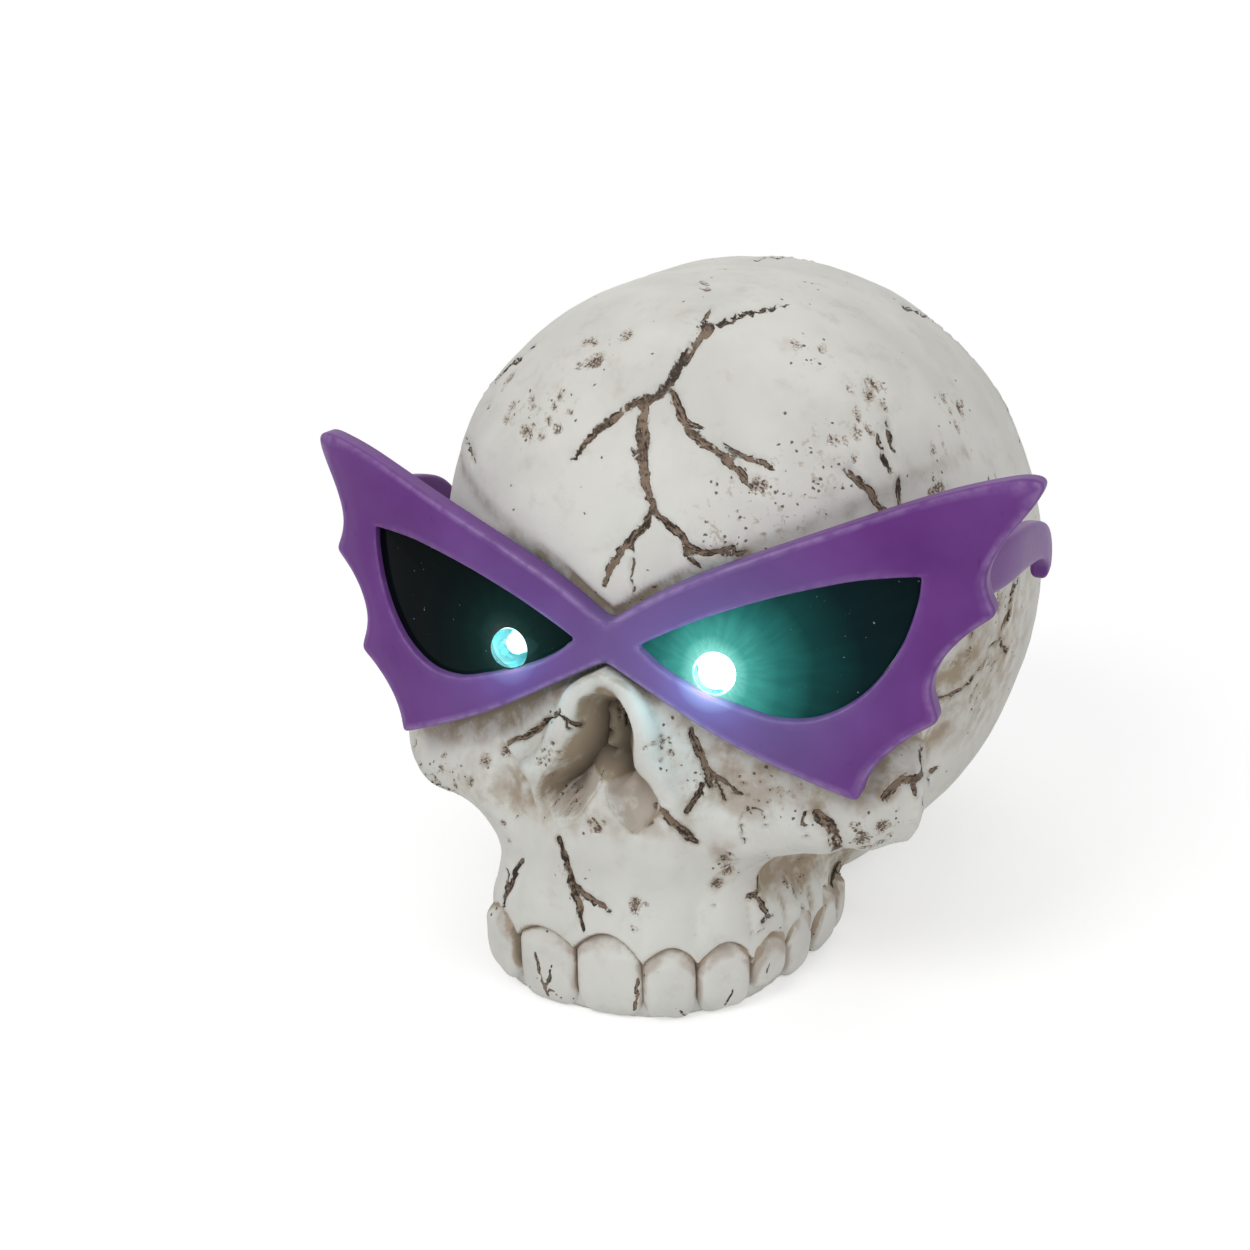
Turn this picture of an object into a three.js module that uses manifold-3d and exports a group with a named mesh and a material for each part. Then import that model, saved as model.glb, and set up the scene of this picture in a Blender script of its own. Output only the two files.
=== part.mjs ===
// A cast resin skull ornament that wears bat-wing sunglasses with a lit LED through each lens.
// Millimetres, +Z up, the face looks along -Y and the skull stands on its teeth and its base at z = 0.
import * as THREE from "three";
import { mergeVertices } from "three/addons/utils/BufferGeometryUtils.js";
import Module from "manifold-3d";

const wasm = await Module();
wasm.setup();

// Clearances
const GAP = 0.3; // between two pieces that are seated or glued together
const RUN_GAP = 0.4; // round a piece that moves
const OVERRUN = 2; // how far a cutting shape runs past the face that it opens
const CLEAR_WAY = 7; // room that the face leaves in front of the sunglasses

// Skull casting
const SKULL_LENGTH = 100; // front teeth to nape
const TOOTH_HEIGHT = 12.5;
const TOOTH_DEPTH = 6;
const TOOTH_STANDOUT = 1.2; // tooth faces in front of the jaw
const TOOTH_WIDTH_SHARE = 1.05; // of the space between its joints
const TOOTH_ROOT = 1.2; // how far a tooth's block runs below the standing plane before it is cut

// Sunglasses
const GLASSES_SPAN = 94; // wing tip to wing tip
const FRONT_THICKNESS = 2.8;
const FRONT_BEVEL = 0.5;
const FRONT_BOW = 10.6; // how far the wing tips sweep back
const FRONT_LEAN = 0.16; // backward slope of the front, as rise over run
const LENS_THICKNESS = 1.5;
const LENS_RECESS = 1.1; // lens face behind the face of the front
const ARM_THICKNESS = 2.4;
const ARM_HEIGHT = 6; // at the hinge end of the temple arm
const ARM_TIP_HEIGHT = 3; // at the ear hook

// LEDs and their wiring
const LED_DIAMETER = 5;
const LED_FLANGE_DIAMETER = 5.8;
const LED_FLANGE_HEIGHT = 1;
const LED_LENGTH = 8.6; // dome tip to the flange's back
const LED_STANDOUT = 2.5; // dome tip in front of the lens
const LEAD_SIZE = 0.5;
const LEAD_PITCH = 2.54;
const LEAD_LENGTH = 6;
const SLEEVE_WALL = 0.5;
const SLEEVE_LENGTH = 8;
const WIRE_DIAMETER = 1.6;
const WIRE_BEND = 3;
const CHANNEL_DIAMETER = 3.4;

// Battery box in the base
const CELL_DIAMETER = 11.6;
const CELL_HEIGHT = 5.4;
const CELL_COUNT = 3;
const CELL_CHAMFER = 0.4;
const CELL_CAP_HEIGHT = 1;
const CELL_CAP_STEP = 0.9;
const BOX_WALL = 1.2;
const BASE_RECESS = 0.4; // door and box above the surface that the skull stands on
const DOOR_THICKNESS = 1.8;
const HINGE_PIN_DIAMETER = 1;
const HINGE_INSET = 1.7; // hinge axis from the end wall of the box
const DOOR_HEEL = 0.6; // door beyond its hinge axis
const FINGER_NOTCH_RADIUS = 2.5;
const CONTACT_THICKNESS = 0.4;
const SPRING_BOW = 2.6; // how far the leaf of the negative contact stands off its wall
const TERMINAL_WIDTH = 3.6;
const TERMINAL_HEIGHT = 2.4; // solder tab above the box
const WIRE_CHAMBER_HEIGHT = 4;

// Slide switch in the base
const SWITCH_LENGTH = 8.6;
const SWITCH_WIDTH = 3.8;
const SWITCH_HEIGHT = 3.6;
const SLIDER_LENGTH = 2.2;
const SLIDER_WIDTH = 1.6;
const SLIDER_REACH = 1.5; // knob below the switch case
const SWITCH_TRAVEL = 2;
const SWITCH_SPACING = 4.2; // between the battery box and the switch

// How finely curves are drawn
const OUTLINE_STEPS = 2; // samples between two outline points
const ARM_STEPS = 14;
const FACE_COLUMNS = 66; // samples of the head round the axis from face to nape
const FACE_ROWS = 40; // samples of the head from the bridge of the nose to the nape
const JAW_SAMPLES = 90; // directions in which the jaw's plan is measured
const TOOTH_SIDES = 12;
const TOOTH_RINGS = 8;
const TOOTH_ROUNDNESS_SHARE = 0.5; // 1 is a sphere, 0 a block
const ROUND_SIDES = 16;
const CELL_SIDES = 24;
const DOME_STEPS = 4;
const LEAF_STEPS = 8;
const WIRE_SIDES = 8;
const WIRE_STEP_SHARE = 2.5; // of its diameter
const MERGE_DISTANCE = 1e-4;

// The masses of the head: centre x, y, z, then radii x, y, z.
const massShares = {
  cranium: [0, 0, 0.441, 0.417, 0.472, 0.443],
  forehead: [0, -0.18, 0.56, 0.345, 0.272, 0.315],
  base: [0, 0.04, 0.1, 0.225, 0.275, 0.142],
  midface: [0, -0.26, 0.34, 0.25, 0.215, 0.26],
  nose: [-0.005, -0.405, 0.345, 0.105, 0.108, 0.15],
};
// The same masses on both sides, each to the side of the middle that its x says.
const pairShares = {
  cheekbone: [0.245, -0.365, 0.305, 0.108, 0.095, 0.085],
  cheekRoot: [0.13, -0.385, 0.31, 0.12, 0.095, 0.09],
};
// Hollows on both sides: eye sockets, the dips behind the cheekbones and below them.
const pairHollowShares = {
  eyeSocket: [0.2, -0.475, 0.505, 0.145, 0.09, 0.08],
  temple: [0.39, -0.285, 0.37, 0.055, 0.075, 0.1],
  cheekHollow: [0.235, -0.4, 0.17, 0.045, 0.1, 0.055],
};
// The nasal opening: its top, then the floor of each lobe, as x, y, z and radius.
const nostrilTopShare = [-0.002, -0.51, 0.405, 0.022];
const nostrilLobeShares = [
  [-0.052, -0.5, 0.32, 0.034],
  [0.023, -0.5, 0.32, 0.03],
];
// Where neighbouring teeth meet, as x and y, from the back of the skull's left round the front to its right.
const toothJointShares = [
  [0.198, -0.175], [0.204, -0.24], [0.194, -0.31], [0.179, -0.372], [0.155, -0.432], [0.102, -0.487],
  [0.042, -0.522], [-0.048, -0.53], [-0.135, -0.515], [-0.193, -0.47], [-0.213, -0.4], [-0.21, -0.32],
  [-0.202, -0.24], [-0.19, -0.17],
];
const jawBackShare = [0, -0.08]; // closes the jaw's plan inside the cranium
const jawMiddleShare = [0, -0.28];
const JAW_TOP_SHARE = 0.27;
const coreShare = [0, -0.06, 0.48]; // the point that every ray to the surface starts from
const MELT_SHARE = 0.06; // how softly the masses flow together
const HOLLOW_MELT_SHARE = 0.035;
const NOSTRIL_MELT_SHARE = 0.015;
const REACH_SHARE = 0.8; // outer end of the search along a ray
const SEARCH_STEPS = 72;
const BISECTIONS = 14;
const FACE_CROWDING_SHARE = 1.45; // 1 spaces the rows evenly, more crowds them at the face

// Outline of the left half of the sunglasses, as x and z shares of the span from the bridge's middle.
// Each stretch runs from one corner to the next.
const wingShares = {
  top: [
    [-0.012, 0.015], [0, 0.024], [0.068, 0.067], [0.14, 0.101], [0.21, 0.129], [0.28, 0.155], [0.35, 0.18],
    [0.41, 0.198], [0.47, 0.209], [0.494, 0.207],
  ],
  tip: [[0.494, 0.207], [0.5, 0.2], [0.492, 0.181]],
  upperScallop: [[0.492, 0.181], [0.458, 0.132], [0.445, 0.1], [0.448, 0.076], [0.46, 0.052]],
  middleScallop: [[0.46, 0.052], [0.425, 0.026], [0.402, -0.003], [0.393, -0.036], [0.405, -0.076]],
  lowerScallop: [[0.405, -0.076], [0.373, -0.095], [0.343, -0.122], [0.326, -0.15], [0.32, -0.175]],
  bottom: [
    [0.32, -0.175], [0.26, -0.152], [0.19, -0.123], [0.13, -0.094], [0.068, -0.06], [0, -0.024],
    [-0.012, -0.017],
  ],
  bridge: [[-0.012, -0.017], [-0.012, 0.015]],
};
const apertureShares = {
  top: [
    [0.042, 0], [0.08, 0.02], [0.133, 0.044], [0.207, 0.07], [0.287, 0.09], [0.335, 0.096],
    [0.374, 0.098],
  ],
  bottom: [
    [0.374, 0.098], [0.372, 0.068], [0.36, 0.023], [0.34, -0.016], [0.31, -0.05], [0.268, -0.073],
    [0.223, -0.077], [0.18, -0.067], [0.122, -0.048], [0.075, -0.025], [0.042, 0],
  ],
};
const apertureCentreShare = [0.2, 0.03];
const ledShare = [0.14, -0.027];
// The left temple arm from the front to the tip of its ear hook, as shares of the span from the bridge.
const armRouteShares = [
  [0.424, 0.105, 0.094], [0.445, 0.196, 0.09], [0.456, 0.3, 0.083], [0.461, 0.38, 0.066],
  [0.461, 0.422, 0.036], [0.459, 0.435, 0],
];
const armSectionShares = [
  [0.5, -0.3], [0.5, 0.3], [0.3, 0.5], [-0.3, 0.5], [-0.5, 0.3], [-0.5, -0.3], [-0.3, -0.5], [0.3, -0.5],
];
const bridgeShare = { y: -0.504, z: 0.498 }; // middle of the front's face, on the skull
const boxYShare = 0; // middle of the battery box, along the skull
// Where a wire runs between the back of its eye socket and the wire chamber, on the skull.
const wireMiddleShares = [[0.12, -0.2, 0.4], [0.08, -0.09, 0.28], [0.042, -0.02, 0.21]];

const skull = (share) => share * SKULL_LENGTH;

// Smaller of two distances with the corner rounded over a width k.
function meltTogether(a, b, k) {
  const h = Math.max(k - Math.abs(a - b), 0) / k;
  return Math.min(a, b) - (h * h * k) / 4;
}

// Larger of two distances, rounded the same way: it hollows a solid.
const meltAway = (a, b, k) => -meltTogether(-a, -b, k);

// Approximate distance to an ellipsoid given as shares of the skull's length.
function ellipsoidDistance(x, y, z, [cx, cy, cz, rx, ry, rz]) {
  const px = (x - skull(cx)) / skull(rx);
  const py = (y - skull(cy)) / skull(ry);
  const pz = (z - skull(cz)) / skull(rz);
  const k0 = Math.hypot(px, py, pz);
  const k1 = Math.hypot(px / skull(rx), py / skull(ry), pz / skull(rz));
  return k1 > 0 ? (k0 * (k0 - 1)) / k1 : -skull(Math.min(rx, ry, rz));
}

// Distance to a round cone from the nostril's top to one lobe.
function lobeDistance(x, y, z, lobe) {
  const [ax, ay, az, ra] = nostrilTopShare.map(skull);
  const [bx, by, bz, rb] = lobe.map(skull);
  const d = [bx - ax, by - ay, bz - az];
  const p = [x - ax, y - ay, z - az];
  const along = (p[0] * d[0] + p[1] * d[1] + p[2] * d[2]) / (d[0] ** 2 + d[1] ** 2 + d[2] ** 2);
  const t = THREE.MathUtils.clamp(along, 0, 1);
  return Math.hypot(p[0] - t * d[0], p[1] - t * d[1], p[2] - t * d[2]) - (ra + t * (rb - ra));
}

// The jaw's plan as a radius for each of a full turn's directions about the jaw's middle.
function jawPlan() {
  const [cx, cy] = jawMiddleShare.map(skull);
  const knots = [...toothJointShares, jawBackShare].map(([x, y]) => {
    const arm = new THREE.Vector3(skull(x) - cx, skull(y) - cy, 0);
    return arm.setLength(arm.length() - TOOTH_STANDOUT);
  });
  const outline = new THREE.CatmullRomCurve3(knots, true).getPoints(JAW_SAMPLES);
  const turns = outline.map((p) => ({ turn: Math.atan2(p.y, p.x), radius: Math.hypot(p.x, p.y) }));
  return turns.sort((a, b) => a.turn - b.turn);
}

const jawTurns = jawPlan();

// Radius of the jaw's plan in one direction, between the two nearest measured ones.
function jawRadius(turn) {
  let next = jawTurns.findIndex((place) => place.turn > turn);
  if (next < 1) next = 0;
  const b = jawTurns[next];
  const a = jawTurns.at(next - 1);
  const span = (b.turn - a.turn + 2 * Math.PI) % (2 * Math.PI);
  const share = ((turn - a.turn + 2 * Math.PI) % (2 * Math.PI)) / span;
  return THREE.MathUtils.lerp(a.radius, b.radius, share);
}

// Distance to the upper jaw: an upright column under the face with a rounded top.
function jawDistance(x, y, z) {
  const [cx, cy] = jawMiddleShare.map(skull);
  const side = Math.hypot(x - cx, y - cy) - jawRadius(Math.atan2(y - cy, x - cx));
  return meltAway(side, z - skull(JAW_TOP_SHARE), skull(MELT_SHARE));
}

// Signed distance to the head without its teeth, negative inside.
function headDistance(x, y, z) {
  const side = Math.abs(x);
  const melt = skull(MELT_SHARE);
  let d = Infinity;
  for (const mass of Object.values(massShares)) {
    const next = ellipsoidDistance(x, y, z, mass);
    d = d === Infinity ? next : meltTogether(d, next, melt);
  }
  for (const mass of Object.values(pairShares)) {
    d = meltTogether(d, ellipsoidDistance(side, y, z, mass), melt);
  }
  d = meltTogether(d, jawDistance(x, y, z), melt);
  const hollowMelt = skull(HOLLOW_MELT_SHARE);
  for (const hollow of Object.values(pairHollowShares)) {
    d = meltAway(d, -ellipsoidDistance(side, y, z, hollow), hollowMelt);
  }
  for (const lobe of nostrilLobeShares) {
    d = meltAway(d, -lobeDistance(x, y, z, lobe), skull(NOSTRIL_MELT_SHARE));
  }
  return d;
}

// The last point inside the head along one ray from its core, by a search inwards and then halving.
function surfacePoint(direction) {
  const core = new THREE.Vector3(...coreShare.map(skull));
  const at = (r) => core.clone().addScaledVector(direction, r);
  const outside = (r) => {
    const p = at(r);
    return headDistance(p.x, p.y, p.z) > 0;
  };
  const reach = skull(REACH_SHARE);
  let i = SEARCH_STEPS;
  while (i > 1 && outside((reach * i) / SEARCH_STEPS)) i--;
  let inner = (reach * i) / SEARCH_STEPS;
  let outer = (reach * (i + 1)) / SEARCH_STEPS;
  for (let step = 0; step < BISECTIONS; step++) {
    const middle = (inner + outer) / 2;
    if (outside(middle)) outer = middle;
    else inner = middle;
  }
  return at(inner);
}

// A closed surface from rows of points: each row is a ring, and a row of one point is a pole.
function closedRows(rows) {
  const positions = rows.flat().flatMap((p) => [p.x, p.y, p.z]);
  const starts = [];
  let count = 0;
  for (const row of rows) {
    starts.push(count);
    count += row.length;
  }
  const index = [];
  for (let r = 0; r + 1 < rows.length; r++) {
    const n = Math.max(rows[r].length, rows[r + 1].length);
    for (let c = 0; c < n; c++) {
      const d = (c + 1) % n;
      const a = starts[r] + (rows[r].length > 1 ? c : 0);
      const b = starts[r] + (rows[r].length > 1 ? d : 0);
      const e = starts[r + 1] + (rows[r + 1].length > 1 ? c : 0);
      const f = starts[r + 1] + (rows[r + 1].length > 1 ? d : 0);
      if (a !== b) index.push(a, b, f);
      if (e !== f) index.push(a, f, e);
    }
  }
  const geometry = new THREE.BufferGeometry();
  geometry.setAttribute("position", new THREE.Float32BufferAttribute(positions, 3));
  geometry.setIndex(index);
  return facingOut(geometry);
}

// Merges shared corners, and turns the faces round when they enclose a negative volume.
function facingOut(drawn) {
  const geometry = merged(drawn);
  const p = geometry.attributes.position;
  const order = geometry.index.array;
  const [a, b, c] = [new THREE.Vector3(), new THREE.Vector3(), new THREE.Vector3()];
  let volume = 0;
  for (let i = 0; i < order.length; i += 3) {
    a.fromBufferAttribute(p, order[i]);
    b.fromBufferAttribute(p, order[i + 1]);
    c.fromBufferAttribute(p, order[i + 2]);
    volume += a.dot(b.cross(c));
  }
  if (volume < 0) {
    for (let i = 0; i < order.length; i += 3) [order[i + 1], order[i + 2]] = [order[i + 2], order[i + 1]];
  }
  return geometry;
}

// Solids and cuts
function merged(geometry) {
  const bare = geometry.clone();
  bare.deleteAttribute("normal");
  bare.deleteAttribute("uv");
  return mergeVertices(bare, MERGE_DISTANCE);
}

function toSolid(geometry) {
  const bare = facingOut(geometry);
  const mesh = new wasm.Mesh({
    numProp: 3,
    vertProperties: bare.attributes.position.array,
    triVerts: new Uint32Array(bare.index.array),
  });
  return new wasm.Manifold(mesh);
}

function toGeometry(solid) {
  const mesh = solid.getMesh();
  const geometry = new THREE.BufferGeometry();
  geometry.setAttribute("position", new THREE.Float32BufferAttribute(mesh.vertProperties, 3));
  geometry.setIndex(new THREE.BufferAttribute(mesh.triVerts, 1));
  return geometry;
}

const cut = (solid, ...tools) => tools.reduce((left, tool) => left.subtract(toSolid(tool)), solid);
const join = (solid, ...others) => others.reduce((whole, other) => whole.add(toSolid(other)), solid);

// A box between two corners.
function boxBetween([x0, y0, z0], [x1, y1, z1]) {
  const box = new THREE.BoxGeometry(x1 - x0, y1 - y0, z1 - z0);
  return box.translate((x0 + x1) / 2, (y0 + y1) / 2, (z0 + z1) / 2);
}

// A box by its middle and size.
function boxAbout([x, y, z], [length, width, height]) {
  return new THREE.BoxGeometry(length, width, height).translate(x, y, z);
}

// A round bar along Y between two depths.
function barAlongY(x, z, diameter, y0, y1, sides = ROUND_SIDES) {
  const bar = new THREE.CylinderGeometry(diameter / 2, diameter / 2, y1 - y0, sides);
  return bar.translate(x, (y0 + y1) / 2, z);
}

// A turned piece whose axis lies along Y, from radius and depth pairs.
function turnedAlongY(profile, x, z, sides = ROUND_SIDES) {
  const points = profile.map(([radius, y]) => new THREE.Vector2(radius, y));
  return facingOut(new THREE.LatheGeometry(points, sides).translate(x, 0, z));
}

// A tube of round section along a smooth route of points.
function tubeAlong(points, diameter) {
  const section = new THREE.Shape();
  for (let i = 0; i < WIRE_SIDES; i++) {
    const a = (2 * Math.PI * i) / WIRE_SIDES;
    section[i ? "lineTo" : "moveTo"]((diameter / 2) * Math.cos(a), (diameter / 2) * Math.sin(a));
  }
  section.closePath();
  const extrudePath = new THREE.CatmullRomCurve3(points.map((p) => new THREE.Vector3(...p)));
  const steps = Math.round(extrudePath.getLength() / (WIRE_STEP_SHARE * WIRE_DIAMETER));
  return new THREE.ExtrudeGeometry(section, { extrudePath, steps, bevelEnabled: false });
}

const standard = (color, roughness, metalness) => {
  return new THREE.MeshStandardMaterial({ color, roughness, metalness });
};

const resin = standard("#dadad4", 0.75, 0);
const purplePlastic = standard("#704c93", 0.4, 0);
const smokedAcrylic = standard("#10262a", 0.08, 0);
const clearEpoxy = standard("#d8fffb", 0.1, 0);
const tinnedSteel = standard("#b8bbbd", 0.35, 1);
const nickel = standard("#c6c4bd", 0.3, 1);
const blackPlastic = standard("#1c1c1e", 0.5, 0);
const blackPvc = standard("#232325", 0.55, 0);
const redPvc = standard("#a3201c", 0.5, 0);

const ornament = new THREE.Group();

function addPiece(name, geometry, material, place = [0, 0, 0]) {
  const mesh = new THREE.Mesh(geometry, material);
  mesh.name = name;
  mesh.position.set(...place);
  ornament.add(mesh);
  return mesh;
}

const SIDES = { left: 1, right: -1 };

// Front of the sunglasses
const bridgeY = skull(bridgeShare.y);
const bridgeZ = skull(bridgeShare.z);
const halfSpan = GLASSES_SPAN / 2;

// Where the face of the front lies: it bows back towards the tips and leans back towards its top.
const frontY = (x, z) => bridgeY + FRONT_BOW * (x / halfSpan) ** 2 + FRONT_LEAN * (z - bridgeZ);

function stretchPoints(shares) {
  const knots = shares.map(([x, z]) => new THREE.Vector2(x * GLASSES_SPAN, z * GLASSES_SPAN));
  return new THREE.SplineCurve(knots).getPoints((knots.length - 1) * OUTLINE_STEPS);
}

const loopPoints = (stretches) => Object.values(stretches).flatMap((s) => stretchPoints(s).slice(0, -1));

const apertureCentre = new THREE.Vector2(...apertureCentreShare).multiplyScalar(GLASSES_SPAN);
const ledPlace = new THREE.Vector2(...ledShare).multiplyScalar(GLASSES_SPAN);

// Moves each point of a loop away from a centre by a distance.
function grown(loop, centre, distance) {
  return loop.map((p) => {
    const arm = p.clone().sub(centre);
    return arm.setLength(arm.length() + distance).add(centre);
  });
}

// The point where a loop is met on the way from the centre through a target.
function meets(loop, centre, target) {
  const way = target.clone().sub(centre);
  for (let i = 0; i < loop.length; i++) {
    const a = loop[i].clone().sub(centre);
    const b = loop[(i + 1) % loop.length].clone().sub(centre);
    const turnA = way.cross(a);
    const turnB = way.cross(b);
    if (turnA * turnB > 0 || way.dot(a) + way.dot(b) < 0) continue;
    const share = turnA === turnB ? 0 : turnA / (turnA - turnB);
    return a.lerp(b, share).add(centre);
  }
  throw new Error("the loop does not go round its centre");
}

// Points of the inner loop facing those of the outer one, with the inner loop's corners kept.
function facing(outer, inner, centre, corners) {
  const found = outer.map((p) => meets(inner, centre, p));
  for (const corner of corners) {
    const distances = found.map((p) => p.distanceTo(corner));
    found[distances.indexOf(Math.min(...distances))] = corner.clone();
  }
  return found;
}

// A ring of places on the bowed front: between an inner and an outer loop, at a depth behind the face.
function frontRing(inner, outer, share, depth) {
  return outer.map((p, i) => {
    const q = inner[i].clone().lerp(p, share);
    const z = bridgeZ + q.y;
    return new THREE.Vector3(q.x, frontY(q.x, z) + depth, z);
  });
}

// A mirrored copy for the skull's right side.
function mirroredX(geometry) {
  return facingOut(geometry.clone().scale(-1, 1, 1));
}

const onSide = (geometry, side) => (side > 0 ? geometry : mirroredX(geometry));

const apertureLoop = loopPoints(apertureShares);
const apertureCorners = Object.values(apertureShares).map(([first]) => {
  return new THREE.Vector2(...first).multiplyScalar(GLASSES_SPAN);
});
const wingLoop = loopPoints(wingShares);

// One half of the front, with a chamfer round its face.
function wingPlate() {
  const inner = facing(wingLoop, apertureLoop, apertureCentre, apertureCorners);
  const innerFace = grown(inner, apertureCentre, FRONT_BEVEL);
  const outerFace = grown(wingLoop, apertureCentre, -FRONT_BEVEL);
  const rings = [
    frontRing(inner, inner, 0, FRONT_BEVEL),
    frontRing(innerFace, outerFace, 0, 0),
    frontRing(innerFace, outerFace, 1 / 2, 0),
    frontRing(innerFace, outerFace, 1, 0),
    frontRing(wingLoop, wingLoop, 0, FRONT_BEVEL),
    frontRing(wingLoop, wingLoop, 0, FRONT_THICKNESS),
    frontRing(inner, wingLoop, 1 / 2, FRONT_THICKNESS),
    frontRing(inner, inner, 0, FRONT_THICKNESS),
  ];
  return closedRows([...rings, rings[0]]);
}

// The room that one half of the front needs behind it and all the way forward.
function wingRoom() {
  const loop = grown(wingLoop, apertureCentre, GAP);
  const centre = wingLoop.map(() => apertureCentre);
  const inner = facing(wingLoop, apertureLoop, apertureCentre, apertureCorners);
  const back = FRONT_THICKNESS + GAP;
  const pole = (depth) => frontRing(centre, centre, 0, depth).slice(0, 1);
  return closedRows([
    pole(-CLEAR_WAY),
    frontRing(inner, inner, 0, -CLEAR_WAY),
    frontRing(loop, loop, 0, -CLEAR_WAY),
    frontRing(loop, loop, 0, back),
    frontRing(inner, loop, 1 / 2, back),
    frontRing(inner, inner, 0, back),
    frontRing(centre, inner, 1 / 2, back),
    pole(back),
  ]);
}

function glassesFront() {
  const half = wingPlate();
  return toGeometry(cut(join(toSolid(half), mirroredX(half)), ledHole(), mirroredX(ledHole())));
}

// A smoked lens set into its aperture, with the hole for its LED near its lower edge.
function lensPlate() {
  const outer = grown(apertureLoop, apertureCentre, -GAP);
  const middle = outer.map(() => apertureCentre);
  const ring = (share, depth) => frontRing(middle, outer, share, depth);
  const back = LENS_RECESS + LENS_THICKNESS;
  const plate = closedRows([
    ring(0, LENS_RECESS).slice(0, 1),
    ring(1 / 3, LENS_RECESS),
    ring(2 / 3, LENS_RECESS),
    ring(1, LENS_RECESS),
    ring(1, back),
    ring(2 / 3, back),
    ring(1 / 3, back),
    ring(0, back).slice(0, 1),
  ]);
  return toGeometry(cut(toSolid(plate), ledHole()));
}

// A temple arm: a flat bar that tapers along its route and ends in the ear hook.
function templeArm(grow) {
  const knots = armRouteShares.map(([x, y, z]) => {
    return new THREE.Vector3(x * GLASSES_SPAN, bridgeY + y * GLASSES_SPAN, bridgeZ + z * GLASSES_SPAN);
  });
  const route = new THREE.CatmullRomCurve3(knots);
  const rows = [];
  const across = new THREE.Vector3(1, 0, 0);
  for (let i = 0; i <= ARM_STEPS; i++) {
    const t = i / ARM_STEPS;
    const along = route.getTangent(t);
    const up = new THREE.Vector3().crossVectors(along, across).normalize();
    const height = THREE.MathUtils.lerp(ARM_HEIGHT, ARM_TIP_HEIGHT, Math.sqrt(t)) + 2 * grow;
    const thickness = ARM_THICKNESS + 2 * grow;
    const end = i === 0 ? -grow : i === ARM_STEPS ? grow : 0;
    const middle = route.getPoint(t).addScaledVector(along, end);
    rows.push(armSectionShares.map(([u, v]) => {
      return middle.clone().addScaledVector(across, u * thickness).addScaledVector(up, v * height);
    }));
  }
  const first = rows[0].reduce((sum, p) => sum.add(p), new THREE.Vector3()).divideScalar(rows[0].length);
  const last = rows.at(-1).reduce((sum, p) => sum.add(p), new THREE.Vector3()).divideScalar(rows[0].length);
  return closedRows([[first], ...rows, [last]]);
}

// LED, its leads and its wire, all on one axis along Y through the lens hole
const ledZ = bridgeZ + ledPlace.y;
const lensFaceY = frontY(ledPlace.x, ledZ) + LENS_RECESS;
const domeTipY = lensFaceY - LED_STANDOUT;
const flangeBackY = domeTipY + LED_LENGTH;
const leadStartY = flangeBackY + GAP;
const leadEndY = leadStartY + LEAD_LENGTH;
const sleeveStartY = leadEndY - SLEEVE_LENGTH / 2;
const sleeveEndY = sleeveStartY + SLEEVE_LENGTH;
const sleeveBore = LEAD_PITCH + LEAD_SIZE + 2 * RUN_GAP;
const sleeveDiameter = sleeveBore + 2 * SLEEVE_WALL;

// A 5 mm LED: a dome on a round body with a flange at its back.
function ledBody() {
  const r = LED_DIAMETER / 2;
  const profile = [];
  for (let i = 0; i <= DOME_STEPS; i++) {
    const a = (Math.PI / 2) * (i / DOME_STEPS);
    profile.push([r * Math.sin(a), domeTipY + r * (1 - Math.cos(a))]);
  }
  profile.push([r, flangeBackY - LED_FLANGE_HEIGHT]);
  profile.push([LED_FLANGE_DIAMETER / 2, flangeBackY - LED_FLANGE_HEIGHT]);
  profile.push([LED_FLANGE_DIAMETER / 2, flangeBackY]);
  profile.push([0, flangeBackY]);
  return turnedAlongY(profile, ledPlace.x, ledZ);
}

const sleeve = () => turnedAlongY([
  [sleeveBore / 2, sleeveStartY], [sleeveDiameter / 2, sleeveStartY],
  [sleeveDiameter / 2, sleeveEndY], [sleeveBore / 2, sleeveEndY], [sleeveBore / 2, sleeveStartY],
], ledPlace.x, ledZ);

// The hole that an LED needs through its lens and the edge of the front.
function ledHole() {
  return barAlongY(ledPlace.x, ledZ, LED_DIAMETER + 2 * GAP, domeTipY - OVERRUN, flangeBackY);
}

// The room for the LED, its leads and its sleeve behind the lens.
function ledRoom() {
  const widest = Math.max(LED_FLANGE_DIAMETER, sleeveDiameter) + 2 * RUN_GAP;
  return barAlongY(ledPlace.x, ledZ, widest, lensFaceY - OVERRUN, sleeveEndY + GAP);
}

// Battery box and what lies in it, the cells in a row along X
const boxY = skull(boxYShare);
const cellPitch = CELL_HEIGHT + GAP;
const boxInnerLength = CELL_COUNT * cellPitch + SPRING_BOW + 3 * GAP + 2 * CONTACT_THICKNESS;
const boxInnerWidth = CELL_DIAMETER + 2 * RUN_GAP;
const boxLength = boxInnerLength + 2 * BOX_WALL;
const boxWidth = boxInnerWidth + 2 * BOX_WALL;
const doorTop = BASE_RECESS + DOOR_THICKNESS;
const cellZ = doorTop + RUN_GAP + CELL_DIAMETER / 2;
const boxRoof = cellZ + CELL_DIAMETER / 2 + RUN_GAP;
const boxTop = boxRoof + BOX_WALL;
const plateX = boxInnerLength / 2 - GAP - CONTACT_THICKNESS / 2;
const chamberTop = boxTop + WIRE_CHAMBER_HEIGHT;
const hingeX = -boxInnerLength / 2 + HINGE_INSET;
const hingeZ = doorTop - HINGE_PIN_DIAMETER / 2;

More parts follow.
